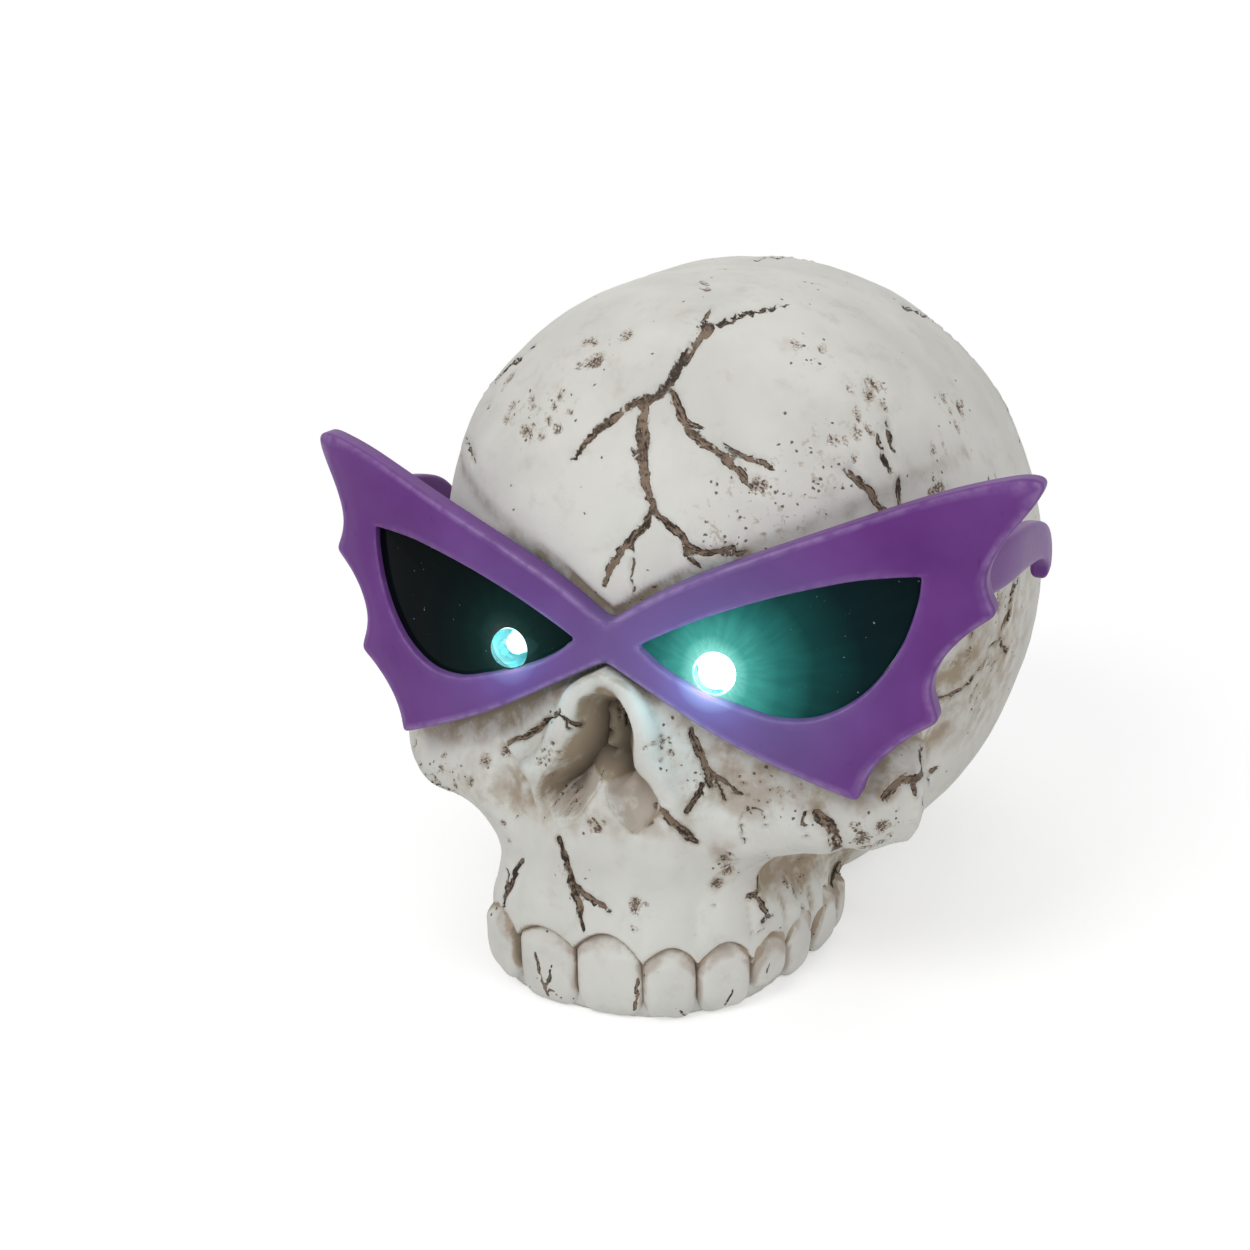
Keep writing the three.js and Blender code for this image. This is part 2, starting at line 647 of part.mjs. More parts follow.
function batteryBox() {
  const shell = boxBetween(
    [-boxLength / 2, boxY - boxWidth / 2, BASE_RECESS],
    [boxLength / 2, boxY + boxWidth / 2, boxTop],
  );
  const hollow = boxBetween(
    [-boxInnerLength / 2, boxY - boxInnerWidth / 2, BASE_RECESS - OVERRUN],
    [boxInnerLength / 2, boxY + boxInnerWidth / 2, boxRoof],
  );
  const boreReach = boxWidth / 2 + OVERRUN;
  const bore = HINGE_PIN_DIAMETER + 2 * RUN_GAP;
  const pinHoles = barAlongY(hingeX, hingeZ, bore, boxY - boreReach, boxY + boreReach);
  const slots = [-plateX, plateX].map((x) => boxAbout(
    [x, boxY, boxTop], [CONTACT_THICKNESS + 2 * GAP, TERMINAL_WIDTH + 2 * GAP, 2 * (BOX_WALL + OVERRUN)],
  ));
  return toGeometry(cut(toSolid(shell), hollow, pinHoles, ...slots));
}

// The door closes the box's mouth and turns on two pins that snap into its side walls.
function batteryDoor() {
  const halfWidth = boxInnerWidth / 2 - RUN_GAP;
  const panel = boxBetween(
    [hingeX - DOOR_HEEL, boxY - halfWidth, BASE_RECESS],
    [boxInnerLength / 2 - RUN_GAP, boxY + halfWidth, doorTop],
  );
  const pinReach = halfWidth + RUN_GAP + BOX_WALL / 2;
  const pins = barAlongY(hingeX, hingeZ, HINGE_PIN_DIAMETER, boxY - pinReach, boxY + pinReach);
  const notch = new THREE.CylinderGeometry(
    FINGER_NOTCH_RADIUS, FINGER_NOTCH_RADIUS, 2 * DOOR_THICKNESS, ROUND_SIDES,
  );
  notch.rotateX(Math.PI / 2).translate(boxInnerLength / 2, boxY, BASE_RECESS);
  return toGeometry(cut(join(toSolid(panel), pins), notch));
}

// One button cell on its side: the can, and the smaller cap of the negative pole.
function buttonCell() {
  const r = CELL_DIAMETER / 2;
  const half = CELL_HEIGHT / 2;
  const profile = [
    [0, half], [r - CELL_CHAMFER, half], [r, half - CELL_CHAMFER], [r, CELL_CAP_HEIGHT - half],
    [r - CELL_CAP_STEP, CELL_CAP_HEIGHT - half], [r - CELL_CAP_STEP, -half], [0, -half],
  ];
  const points = profile.map(([radius, y]) => new THREE.Vector2(radius, -y));
  return facingOut(new THREE.LatheGeometry(points, CELL_SIDES).rotateZ(Math.PI / 2));
}

// A contact strip upright across the box, bowed towards the cells where it is the spring.
function contactStrip(bow) {
  const half = CONTACT_THICKNESS / 2;
  const width = CELL_DIAMETER / 2;
  const bottom = cellZ - width / 2;
  const top = boxRoof - RUN_GAP;
  const strip = new THREE.Shape();
  const middle = (bottom + top) / 2;
  strip.moveTo(-half, bottom);
  if (bow) strip.quadraticCurveTo(2 * bow - half, middle, -half, top);
  strip.lineTo(-half, boxTop + TERMINAL_HEIGHT);
  strip.lineTo(half, boxTop + TERMINAL_HEIGHT);
  strip.lineTo(half, top);
  if (bow) strip.quadraticCurveTo(2 * bow + half, middle, half, bottom);
  else strip.lineTo(half, bottom);
  strip.closePath();
  const wide = new THREE.ExtrudeGeometry(strip, {
    depth: TERMINAL_WIDTH, bevelEnabled: false, curveSegments: LEAF_STEPS,
  });
  return wide.rotateX(Math.PI / 2).translate(0, TERMINAL_WIDTH / 2, 0);
}

// Slide switch, its knob down in a pocket of the base
const switchY = boxY + boxWidth / 2 + SWITCH_SPACING;
const switchBottom = BASE_RECESS + SLIDER_REACH;
const switchTop = switchBottom + SWITCH_HEIGHT;
const slotDepth = SWITCH_HEIGHT / 2;

function switchBody() {
  const shell = boxBetween(
    [-SWITCH_LENGTH / 2, switchY - SWITCH_WIDTH / 2, switchBottom],
    [SWITCH_LENGTH / 2, switchY + SWITCH_WIDTH / 2, switchTop],
  );
  const slot = boxAbout(
    [0, switchY, switchBottom],
    [SLIDER_LENGTH + SWITCH_TRAVEL + 2 * RUN_GAP, SLIDER_WIDTH + 2 * RUN_GAP, 2 * slotDepth],
  );
  return toGeometry(cut(toSolid(shell), slot));
}

// The knob rests at the end of its slot where the LEDs are lit.
function switchSlider() {
  const height = SLIDER_REACH + slotDepth - RUN_GAP;
  const middle = [SWITCH_TRAVEL / 2, switchY, BASE_RECESS + height / 2];
  return boxAbout(middle, [SLIDER_LENGTH, SLIDER_WIDTH, height]);
}

// Wire routes, from each sleeve and from the switch to the terminals above the battery box.
const wireStart = leadEndY + GAP;
const terminalX = plateX - CONTACT_THICKNESS / 2 - GAP;
const terminalZ = boxTop + TERMINAL_HEIGHT / 2;
const wireOffset = (WIRE_DIAMETER + GAP) / 2;
const ledWireRoute = [
  [ledPlace.x, wireStart, ledZ],
  [ledPlace.x, sleeveEndY + GAP, ledZ],
  ...wireMiddleShares.map((place) => place.map(skull)),
  [terminalX - WIRE_BEND, boxY - wireOffset, terminalZ + WIRE_DIAMETER / 4],
  [terminalX, boxY - wireOffset, terminalZ],
];
const switchWireRoute = [
  [0, switchY, switchTop + GAP],
  [0, switchY, boxTop - WIRE_BEND],
  [WIRE_BEND / 2, boxY + boxWidth / 2 - WIRE_BEND / 2, boxTop + WIRE_BEND - WIRE_DIAMETER / 4],
  [terminalX - 2 * WIRE_BEND, boxY + wireOffset, terminalZ + WIRE_DIAMETER / 4],
  [terminalX, boxY + wireOffset, terminalZ],
];

// The head as rings of surface points about the axis from the face to the nape.
function headSurface() {
  const rows = [[surfacePoint(new THREE.Vector3(0, -1, 0))]];
  for (let r = 1; r < FACE_ROWS; r++) {
    const polar = Math.PI * (r / FACE_ROWS) ** FACE_CROWDING_SHARE;
    const row = [];
    for (let c = 0; c < FACE_COLUMNS; c++) {
      const turn = (2 * Math.PI * c) / FACE_COLUMNS;
      const side = Math.sin(polar);
      const direction = new THREE.Vector3(side * Math.cos(turn), -Math.cos(polar), side * Math.sin(turn));
      row.push(surfacePoint(direction));
    }
    rows.push(row);
  }
  rows.push([surfacePoint(new THREE.Vector3(0, 1, 0))]);
  return closedRows(rows);
}

// One tooth: a sphere squared off into a rounded block, upright between two joints of the row.
function tooth(from, to) {
  const block = new THREE.SphereGeometry(1, TOOTH_SIDES, TOOTH_RINGS);
  const position = block.attributes.position;
  const square = (value) => Math.sign(value) * Math.abs(value) ** TOOTH_ROUNDNESS_SHARE;
  for (let i = 0; i < position.count; i++) {
    position.setXYZ(i, square(position.getX(i)), square(position.getZ(i)), square(position.getY(i)));
  }
  const along = to.clone().sub(from);
  const inward = new THREE.Vector2(along.y, -along.x).normalize();
  const middle = from.clone().add(to).divideScalar(2).addScaledVector(inward, TOOTH_DEPTH / 2);
  const reach = (TOOTH_HEIGHT + TOOTH_ROOT) / 2;
  block.scale((along.length() * TOOTH_WIDTH_SHARE) / 2, TOOTH_DEPTH / 2, reach);
  block.rotateZ(Math.atan2(along.y, along.x));
  return block.translate(middle.x, middle.y, reach - TOOTH_ROOT);
}

function teeth() {
  const joints = toothJointShares.map(([x, y]) => new THREE.Vector2(skull(x), skull(y)));
  return joints.slice(1).map((to, i) => tooth(joints[i], to));
}

// The casting: head and teeth, cut flat to stand, with seats for all that it carries.
function skullCasting() {
  const below = boxBetween([-SKULL_LENGTH, -SKULL_LENGTH, -SKULL_LENGTH], [SKULL_LENGTH, SKULL_LENGTH, 0]);
  const boxPocket = boxBetween(
    [-boxLength / 2 - GAP, boxY - boxWidth / 2 - GAP, -OVERRUN],
    [boxLength / 2 + GAP, boxY + boxWidth / 2 + GAP, boxTop + GAP],
  );
  const chamber = boxBetween(
    [-plateX - TERMINAL_WIDTH / 2, boxY - TERMINAL_WIDTH, boxTop],
    [plateX + TERMINAL_WIDTH / 2, boxY + TERMINAL_WIDTH, chamberTop],
  );
  const switchPocket = boxBetween(
    [-SWITCH_LENGTH / 2 - GAP, switchY - SWITCH_WIDTH / 2 - GAP, -OVERRUN],
    [SWITCH_LENGTH / 2 + GAP, switchY + SWITCH_WIDTH / 2 + GAP, switchTop + GAP],
  );
  const channel = tubeAlong(ledWireRoute, CHANNEL_DIAMETER);
  const paired = [wingRoom(), templeArm(GAP), ledRoom(), channel];
  const tools = paired.flatMap((tool) => [tool, mirroredX(tool)]);
  const whole = join(toSolid(headSurface()), ...teeth());
  return toGeometry(cut(whole, below, ...tools, boxPocket, chamber, switchPocket,
    tubeAlong(switchWireRoute, CHANNEL_DIAMETER)));
}

addPiece("skull_casting", skullCasting(), resin);
addPiece("glasses_front", glassesFront(), purplePlastic);

for (const [name, side] of Object.entries(SIDES)) {
  const arm = toGeometry(cut(toSolid(templeArm(0)), wingRoom()));
  addPiece(`temple_arm_${name}`, onSide(arm, side), purplePlastic);
  addPiece(`lens_${name}`, onSide(lensPlate(), side), smokedAcrylic);
  addPiece(`led_${name}`, onSide(ledBody(), side), clearEpoxy);
  addPiece(`heat_shrink_${name}`, onSide(sleeve(), side), blackPvc);
  addPiece(`wire_${name}`, onSide(facingOut(tubeAlong(ledWireRoute, WIRE_DIAMETER)), side), redPvc);
  for (const [pole, offset] of Object.entries({ anode: 1 / 2, cathode: -1 / 2 })) {
    const lead = new THREE.BoxGeometry(LEAD_SIZE, LEAD_LENGTH, LEAD_SIZE);
    const place = [side * ledPlace.x + offset * LEAD_PITCH, leadStartY + LEAD_LENGTH / 2, ledZ];
    addPiece(`led_${name}_${pole}`, lead, tinnedSteel, place);
  }
}

addPiece("battery_box", batteryBox(), blackPlastic);
addPiece("battery_door", batteryDoor(), blackPlastic);
for (let i = 0; i < CELL_COUNT; i++) {
  const x = plateX - CONTACT_THICKNESS / 2 - GAP - CELL_HEIGHT / 2 - i * cellPitch;
  addPiece(`button_cell_${i + 1}`, buttonCell(), nickel, [x, boxY, cellZ]);
}
addPiece("contact_plate", contactStrip(0), nickel, [plateX, boxY, 0]);
addPiece("contact_spring", contactStrip(SPRING_BOW), nickel, [-plateX, boxY, 0]);
addPiece("switch_body", switchBody(), blackPlastic);
addPiece("switch_slider", switchSlider(), blackPlastic);
addPiece("switch_wire", facingOut(tubeAlong(switchWireRoute, WIRE_DIAMETER)), redPvc);

// The origin lies under the middle of the whole ornament.
const reach = new THREE.Box3().setFromObject(ornament);
ornament.position.y = -(reach.min.y + reach.max.y) / 2;

export default ornament;
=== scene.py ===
"""Dresses a small light-up skull ornament that wears bat-wing sunglasses.

Shapes are worked out in millimetres on the skull's own axes (x to its left, y to its nape, z up, 0 where it
stands) and become metres in the frame's axes when they are put into a mesh.
"""

import math

import bpy
import numpy as np
from mathutils import Matrix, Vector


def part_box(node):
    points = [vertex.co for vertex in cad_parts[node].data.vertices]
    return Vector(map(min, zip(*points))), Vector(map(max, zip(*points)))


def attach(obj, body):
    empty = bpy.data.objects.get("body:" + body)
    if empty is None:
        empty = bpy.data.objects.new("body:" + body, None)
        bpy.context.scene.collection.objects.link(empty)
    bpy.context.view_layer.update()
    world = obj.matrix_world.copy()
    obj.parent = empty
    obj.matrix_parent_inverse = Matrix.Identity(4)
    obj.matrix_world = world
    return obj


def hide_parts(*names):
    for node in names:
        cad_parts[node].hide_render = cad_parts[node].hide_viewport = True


bl_info = {
    "name": "Light-up skull ornament",
    "version": (1, 0, 0),
    "blender": (4, 5, 0),
    "location": "View3D > Sidebar > Ornament",
    "description": "Builds the visible surfaces, materials and studio of a small cast skull with sunglasses",
    "category": "Object",
}

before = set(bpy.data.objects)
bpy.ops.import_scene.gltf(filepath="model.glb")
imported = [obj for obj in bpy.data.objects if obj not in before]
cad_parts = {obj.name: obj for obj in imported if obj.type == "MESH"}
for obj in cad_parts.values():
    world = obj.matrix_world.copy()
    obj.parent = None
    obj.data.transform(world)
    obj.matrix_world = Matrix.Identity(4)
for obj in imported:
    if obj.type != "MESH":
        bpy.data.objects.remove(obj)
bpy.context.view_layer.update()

MM = 0.001
BOX_LOW, BOX_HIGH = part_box("battery_box")
FRAME_SHIFT = (BOX_LOW.y + BOX_HIGH.y) / 2 / MM  # the frame's origin lies this far in front of the skull's
SKULL_LENGTH = 100
GLASSES_SPAN = 94
SEED = 7

# Head: ellipsoids as centre and radii, as shares of the skull's length.
MASSES = [
    (0, 0, 0.441, 0.417, 0.472, 0.443),  # cranium
    (0, -0.18, 0.56, 0.345, 0.272, 0.315),  # forehead
    (0, 0.04, 0.1, 0.225, 0.275, 0.142),  # base
    (0, -0.26, 0.34, 0.25, 0.215, 0.26),  # middle of the face
    (-0.005, -0.405, 0.345, 0.105, 0.108, 0.15),  # nose
]
PAIRS = [(0.245, -0.365, 0.305, 0.108, 0.095, 0.085), (0.13, -0.385, 0.31, 0.12, 0.095, 0.09)]  # cheekbones
PAIR_HOLLOWS = [
    (0.2, -0.475, 0.505, 0.145, 0.09, 0.08),  # eye socket
    (0.39, -0.285, 0.37, 0.055, 0.075, 0.1),  # temple
    (0.235, -0.4, 0.17, 0.045, 0.1, 0.055),  # under the cheek
]
MELT = 6.0
HOLLOW_MELT = 3.5
NOSE_MELT = 0.5
NOSE_RIM_MELT = 1.3
CORE = np.array([-1.0, -15.0, 35.0])  # the whole surface is in plain view of this point
BEHIND_BRIDGE = np.array([0.0, -22.0, 43.0])
STANDING_EDGE = 0.6  # rounding where the casting is flat to stand
NOSE_PLACE = np.array([-2.0, -50.0, 35.0])
NOSE_REACH = 22
NOSE_DEPTH_RANGE = (0.2, 10.0)
NOSE_TAPER, NOSE_TAPER_RIGHT = 0.45, 0.22  # narrowing per millimetre of depth, and more of it on the right
SPLINE_SLACK = 0.35  # lets the floor pass a little off depths that don't agree
JAW_MIDDLE = np.array([0.0, -28.0])
JAW_BACK = (0.0, -8.0)
JAW_TOP = 27.0
TOOTH_STANDOUT = 1.2
GUM_LIP = 1.3
GUM_LIP_Y = (-12, -20)  # the lip grows from none to full between these depths
# Joints between the teeth in plan, from the back of the skull's left round the front to the back right.
TOOTH_JOINTS = np.array([
    (19.8, -17.5), (20.4, -24.0), (19.4, -31.0), (17.9, -37.2), (15.5, -43.2), (10.2, -48.7), (4.2, -52.2),
    (-4.8, -53.0), (-13.5, -51.5), (-19.3, -47.0), (-21.3, -40.0), (-21.0, -32.0), (-20.2, -24.0),
    (-19.0, -17.0),
])
GUM_TOPS = [7.0, 9.2, 9.9, 8.6, 9.8, 10.4, 11.9, 11.1, 11.1, 10.0, 9.5, 9.0, 8.0]
GUM_TIPS = [3.0, 2.8, 2.3, 4.8, 5.3, 7.0, 7.9, 9.0, 8.4, 7.0, 5.5, 4.5, 3.5, 3.0]
TOOTH_BOTTOMS = [0.0, 0.4, 0.0, 1.6, 0.0, 0.0, 0.0, 0.0, 1.4, 0.0, 0.3, 0.0, 0.0]
TOOTH_PUSH = [0.0, 0.3, 0.0, 0.2, -0.1, 0.0, -0.3, -0.1, 0.9, 0.0, 0.2, 0.0, 0.0]
TOOTH_STAINS = [0.3, 0.2, 0.3, 0.35, 0.1, 0.0, 0.0, 0.0, 0.0, 1.1, 0.5, 0.3, 0.3]

# Nasal opening: its outline in x and z, the crests of its raised rim and its septum.
NOSE_OUTLINE = [
    (-0.6, 43.4), (-2.5, 43.2), (-3.4, 41.4), (-4.1, 38.4), (-6.1, 34.6), (-8.7, 31.3), (-9.6, 29.3),
    (-8.9, 27.6), (-6.6, 26.5), (-4.1, 27.3), (-2.1, 29.9), (-0.5, 32.3), (0.1, 32.4), (0.0, 31.0),
    (0.4, 29.3), (1.9, 27.6), (3.5, 26.2), (5.1, 27.5), (6.5, 29.9), (5.5, 32.6), (4.0, 34.2),
    (3.6, 35.8), (3.8, 39.4), (3.1, 41.8), (1.6, 43.2),
]
NOSE_RIMS = [
    [(0.2, -50.2, 46.6), (-1.9, -50.6, 45.4), (-4.0, -50.8, 42.4), (-5.8, -50.7, 38.6), (-7.8, -50.3, 34.8),
     (-10.0, -49.8, 31.4), (-11.1, -49.2, 28.6), (-10.2, -49, 25.6)],
    [(0.2, -50.2, 46.6), (2.4, -50.2, 44.8), (4.0, -50.4, 41.8), (4.7, -50.4, 38.7), (5.0, -50.3, 36),
     (6.3, -50, 33.6), (7.4, -49.4, 30.6), (7.2, -49, 27.8)],
]
NOSE_RIM_RADIUS = 1.6
# Depth of the opening's floor under the face in millimetres, and the pixel of the photo that shows the place.
# The last seven places lie hidden behind the rim.
NOSE_DEPTHS = [
    (2.3, (580, 706)), (2.1, (574, 726)), (1.8, (567, 744)), (1.6, (558, 764)), (1.3, (549, 782)),
    (1.0, (544, 793)), (4.3, (590, 710)), (4.5, (588, 730)), (4.2, (580, 748)), (3.4, (570, 764)),
    (2.5, (560, 778)), (1.7, (552, 788)), (6.0, (602, 716)), (6.8, (601, 736)), (7.5, (606, 752)),
    (6.6, (596, 760)), (4.9, (580, 774)), (3.4, (566, 785)), (2.2, (555, 794)), (5.0, (609, 768)),
    (4.2, (596, 776)), (2.8, (582, 790)), (1.9, (568, 800)), (1.3, (554, 804)), (2.3, (600, 786)),
    (1.5, (588, 802)), (1.1, (572, 814)), (1.0, (562, 817)), (0.9, (550, 810)), (3.5, (606, 710)),
    (3.3, (607, 730)), (3.2, (608, 744)), (3.4, (612, 758)), (3.6, (618, 767)), (5.3, (613, 704)),
    (6.2, (620, 715)), (5.4, (615, 726)), (6.7, (625, 730)), (5.4, (618, 746)), (6.9, (628, 748)),
    (5.2, (622, 760)), (6.0, (629, 764)), (2.4, (611, 776)), (3.0, (622, 778)), (2.6, (636, 778)),
    (1.5, (611, 789)), (2.2, (628, 789)), (2.3, (645, 788)), (1.1, (612, 802)), (1.6, (634, 806)),
    (1.8, (652, 800)), (0.9, (622, 818)), (1.0, (640, 824)), (1.2, (655, 812)), (0.8, (634, 832)),
    (4.6, (600, 700)), (4.8, (610, 700)), (5.0, (628, 704)), (6.0, (640, 728)), (6.3, (642, 748)),
    (5.6, (641, 764)), (6.0, (656, 735)), (6.3, (658, 752)), (5.0, (653, 770)),
]

# Sunglasses: the outlines of the left half are x and z shares of the span from the bridge's middle, and the
# arm's route x, y and z shares.
BRIDGE_Y = -50.4
BRIDGE_Z = 49.8
FRONT_BOW = 10.6
FRONT_LEAN = 0.16
FRONT_THICKNESS = 2.8
FRONT_GAP, FRONT_ROOM = 0.25, 0.45  # clear space behind and round the front in the casting
LENS_RECESS = 1.1
LENS_THICKNESS = 1.5
WING_STRETCHES = [
    [(0, 0.024), (0.068, 0.067), (0.14, 0.101), (0.21, 0.129), (0.28, 0.155), (0.35, 0.18), (0.41, 0.198),
     (0.47, 0.209), (0.494, 0.207)],
    [(0.494, 0.207), (0.5, 0.2), (0.492, 0.181)],
    [(0.492, 0.181), (0.458, 0.132), (0.445, 0.1), (0.448, 0.076), (0.46, 0.052)],
    [(0.46, 0.052), (0.425, 0.026), (0.402, -0.003), (0.393, -0.036), (0.405, -0.076)],
    [(0.405, -0.076), (0.373, -0.095), (0.343, -0.122), (0.326, -0.15), (0.32, -0.175)],
    [(0.32, -0.175), (0.26, -0.152), (0.19, -0.123), (0.13, -0.094), (0.068, -0.06), (0, -0.024)],
]
LENS_STRETCHES = [
    [(0.042, 0), (0.08, 0.02), (0.133, 0.044), (0.207, 0.07), (0.287, 0.09), (0.335, 0.096), (0.374, 0.098)],
    [(0.374, 0.098), (0.372, 0.068), (0.36, 0.023), (0.34, -0.016), (0.31, -0.05), (0.268, -0.073),
     (0.223, -0.077), (0.18, -0.067), (0.122, -0.048), (0.075, -0.025), (0.042, 0)],
]
LENS_MIDDLE = (0.2, 0.03)
ARM_ROUTE = [
    (0.424, 0.105, 0.094), (0.445, 0.196, 0.09), (0.456, 0.3, 0.083), (0.461, 0.38, 0.066),
    (0.461, 0.422, 0.036), (0.459, 0.435, 0),
]
ARM_THICKNESS = 2.4
ARM_HEIGHTS = (6.0, 5.8, 5.4, 4.6, 3.6, 3.0)
LED_PLACE = (0.14, -0.027)
LED_RADIUS = 2.5
LED_LOW, LED_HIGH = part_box("led_left")

# Camera: the photo's view, in millimetres on the skull's axes.
CAMERA_PLACE = (69.628, -199.033, 110.138)
CAMERA_AZIMUTH = 24.235
CAMERA_ELEVATION = 19.502
CAMERA_ROLL = -1.998
FOCAL_PIXELS = 1500
IMAGE_PIXELS = 1250
SENSOR_WIDTH = 36

# Cracks that the photo shows, as pixels of its 1250-pixel frame: width in millimetres, then the line.
CRACKS = [
    (1.0, [(791, 304), (755, 313), (728, 322), (702, 338), (677, 370), (658, 390)]),
    (0.7, [(712, 310), (703, 327), (696, 343)]),
    (1.15, [(700, 340), (682, 362), (664, 388), (650, 398)]),
    (1.0, [(662, 394), (632, 404), (614, 418), (593, 433), (569, 460)]),
    (0.7, [(607, 418), (598, 428), (587, 440)]),
    (1.15, [(652, 398), (645, 412), (644, 432), (643, 452), (645, 475), (650, 495), (653, 511)]),
    (0.6, [(640, 418), (638, 440), (641, 452)]),
    (0.6, [(632, 449), (638, 464), (646, 482)]),
    (1.0, [(652, 509), (644, 525), (632, 541), (617, 557), (605, 584)]),
    (0.9, [(653, 510), (662, 521), (675, 533), (695, 550), (715, 553), (733, 547)]),
    (0.7, [(685, 553), (692, 560), (700, 568)]),
    (0.7, [(725, 556), (746, 552)]),
    (1.1, [(673, 394), (680, 410), (689, 421), (702, 429)]),
    (1.0, [(688, 431), (702, 443), (718, 453), (740, 461)]),
    (0.95, [(724, 460), (737, 472), (752, 486)]),
    (0.8, [(720, 444), (744, 455), (774, 468)]),
    (0.95, [(845, 469), (856, 478), (870, 494), (882, 507), (893, 518)]),
    (0.8, [(877, 434), (882, 446), (885, 460), (891, 475)]),
    (0.65, [(884, 415), (888, 432), (895, 452)]),
    (0.8, [(898, 477), (900, 490), (905, 512)]),
    (0.8, [(467, 439), (470, 452), (475, 462)]),
    (0.9, [(1028, 567), (1024, 580), (1020, 592)]),
    (0.9, [(1029, 578), (1023, 600), (1016, 622), (1012, 640)]),
    (0.9, [(1009, 640), (1013, 650), (1018, 656)]),
    (0.6, [(1008, 646), (990, 668), (977, 684), (950, 699), (936, 703)]),
    (1.15, [(908, 778), (896, 784), (881, 795)]),
    (0.75, [(912, 777), (922, 779), (928, 791)]),
    (0.85, [(924, 782), (932, 777), (940, 772)]),
    (0.4, [(910, 777), (912, 766), (914, 740)]),
    (0.6, [(905, 781), (905, 792)]),
    (0.35, [(912, 779), (912, 800), (908, 815), (900, 836)]),
    (1.3, [(816, 817), (828, 824), (836, 835), (838, 850)]),
    (0.5, [(826, 820), (836, 828), (842, 842), (852, 851), (872, 853)]),
    (0.3, [(804, 815), (801, 822)]),
    (0.3, [(805, 825), (807, 831)]),
    (0.8, [(511, 743), (525, 738), (538, 728), (548, 721), (556, 713), (558, 706)]),
    (0.55, [(557, 713), (566, 721), (575, 727), (581, 725)]),
    (0.4, [(566, 721), (572, 730)]),
    (0.95, [(692, 729), (698, 748), (705, 770), (709, 789)]),
    (0.6, [(712, 775), (722, 784), (732, 797), (741, 799)]),
    (0.4, [(711, 779), (716, 790), (723, 804)]),
    (0.8, [(701, 786), (697, 798), (688, 812)]),
    (1.0, [(657, 806), (668, 820), (682, 832), (696, 841)]),
    (0.5, [(668, 815), (680, 826), (692, 836)]),
    (1.0, [(559, 840), (566, 862), (570, 880), (578, 904), (583, 932)]),
    (0.8, [(571, 882), (586, 896), (609, 913)]),
    (0.85, [(523, 860), (512, 880), (502, 915)]),
    (0.4, [(506, 862), (508, 880), (504, 896)]),
    (0.8, [(764, 873), (762, 889), (757, 897), (747, 897)]),
    (0.85, [(757, 895), (766, 905), (774, 916)]),
    (0.5, [(762, 918), (759, 932)]),
    (0.3, [(634, 834), (645, 825), (655, 813)]),
    (0.3, [(617, 703), (623, 710), (627, 724)]),
    (0.3, [(745, 837), (741, 826), (746, 815), (754, 811), (763, 816), (766, 824)]),
    (0.3, [(761, 848), (772, 853)]),
    (0.55, [(425, 758), (433, 767), (442, 774), (454, 779), (466, 783)]),
    (0.3, [(418, 734), (420, 752)]),
    (0.3, [(632, 545), (632, 598)]),
]
TOOTH_CRACKS = [
    (0.7, [(534, 955), (538, 977), (546, 996)]), (0.45, [(551, 968), (545, 984)]),
    (0.4, [(548, 990), (558, 999)]), (0.35, [(735, 990), (731, 999), (727, 1007)]),
    (0.35, [(679, 1010), (688, 1018)]), (0.3, [(772, 965), (768, 976)]),
    (0.5, [(641, 976), (639, 992), (637, 1012)]), (0.3, [(812, 925), (816, 935)]),
]
# Cracks that the photo doesn't show, as turn from the face and height in degrees seen from BEHIND_BRIDGE.
HIDDEN_CRACKS = [
    (1.3, [(-74, 62), (-84, 50), (-92, 40), (-90, 30), (-99, 20), (-104, 8)]),
    (0.9, [(-90, 30), (-80, 24), (-72, 22)]),
    (1.0, [(-99, 20), (-112, 24), (-122, 22)]),
    (1.4, [(176, 66), (168, 54), (172, 42), (164, 31), (168, 18), (161, 6), (165, -6)]),
    (1.0, [(172, 42), (184, 36), (192, 27), (203, 24)]),
    (0.9, [(164, 31), (152, 30), (143, 36)]),
    (0.8, [(161, 6), (150, 1), (144, -6)]),
    (1.1, [(214, 58), (222, 47), (218, 36), (226, 27)]),
    (1.2, [(138, 50), (146, 40), (142, 30), (150, 20), (146, 10)]),
    (0.9, [(142, 30), (132, 26), (126, 18)]),
    (1.1, [(-118, -2), (-128, -10), (-131, -20)]),
    (1.2, [(206, -4), (198, -12), (201, -22)]),
]
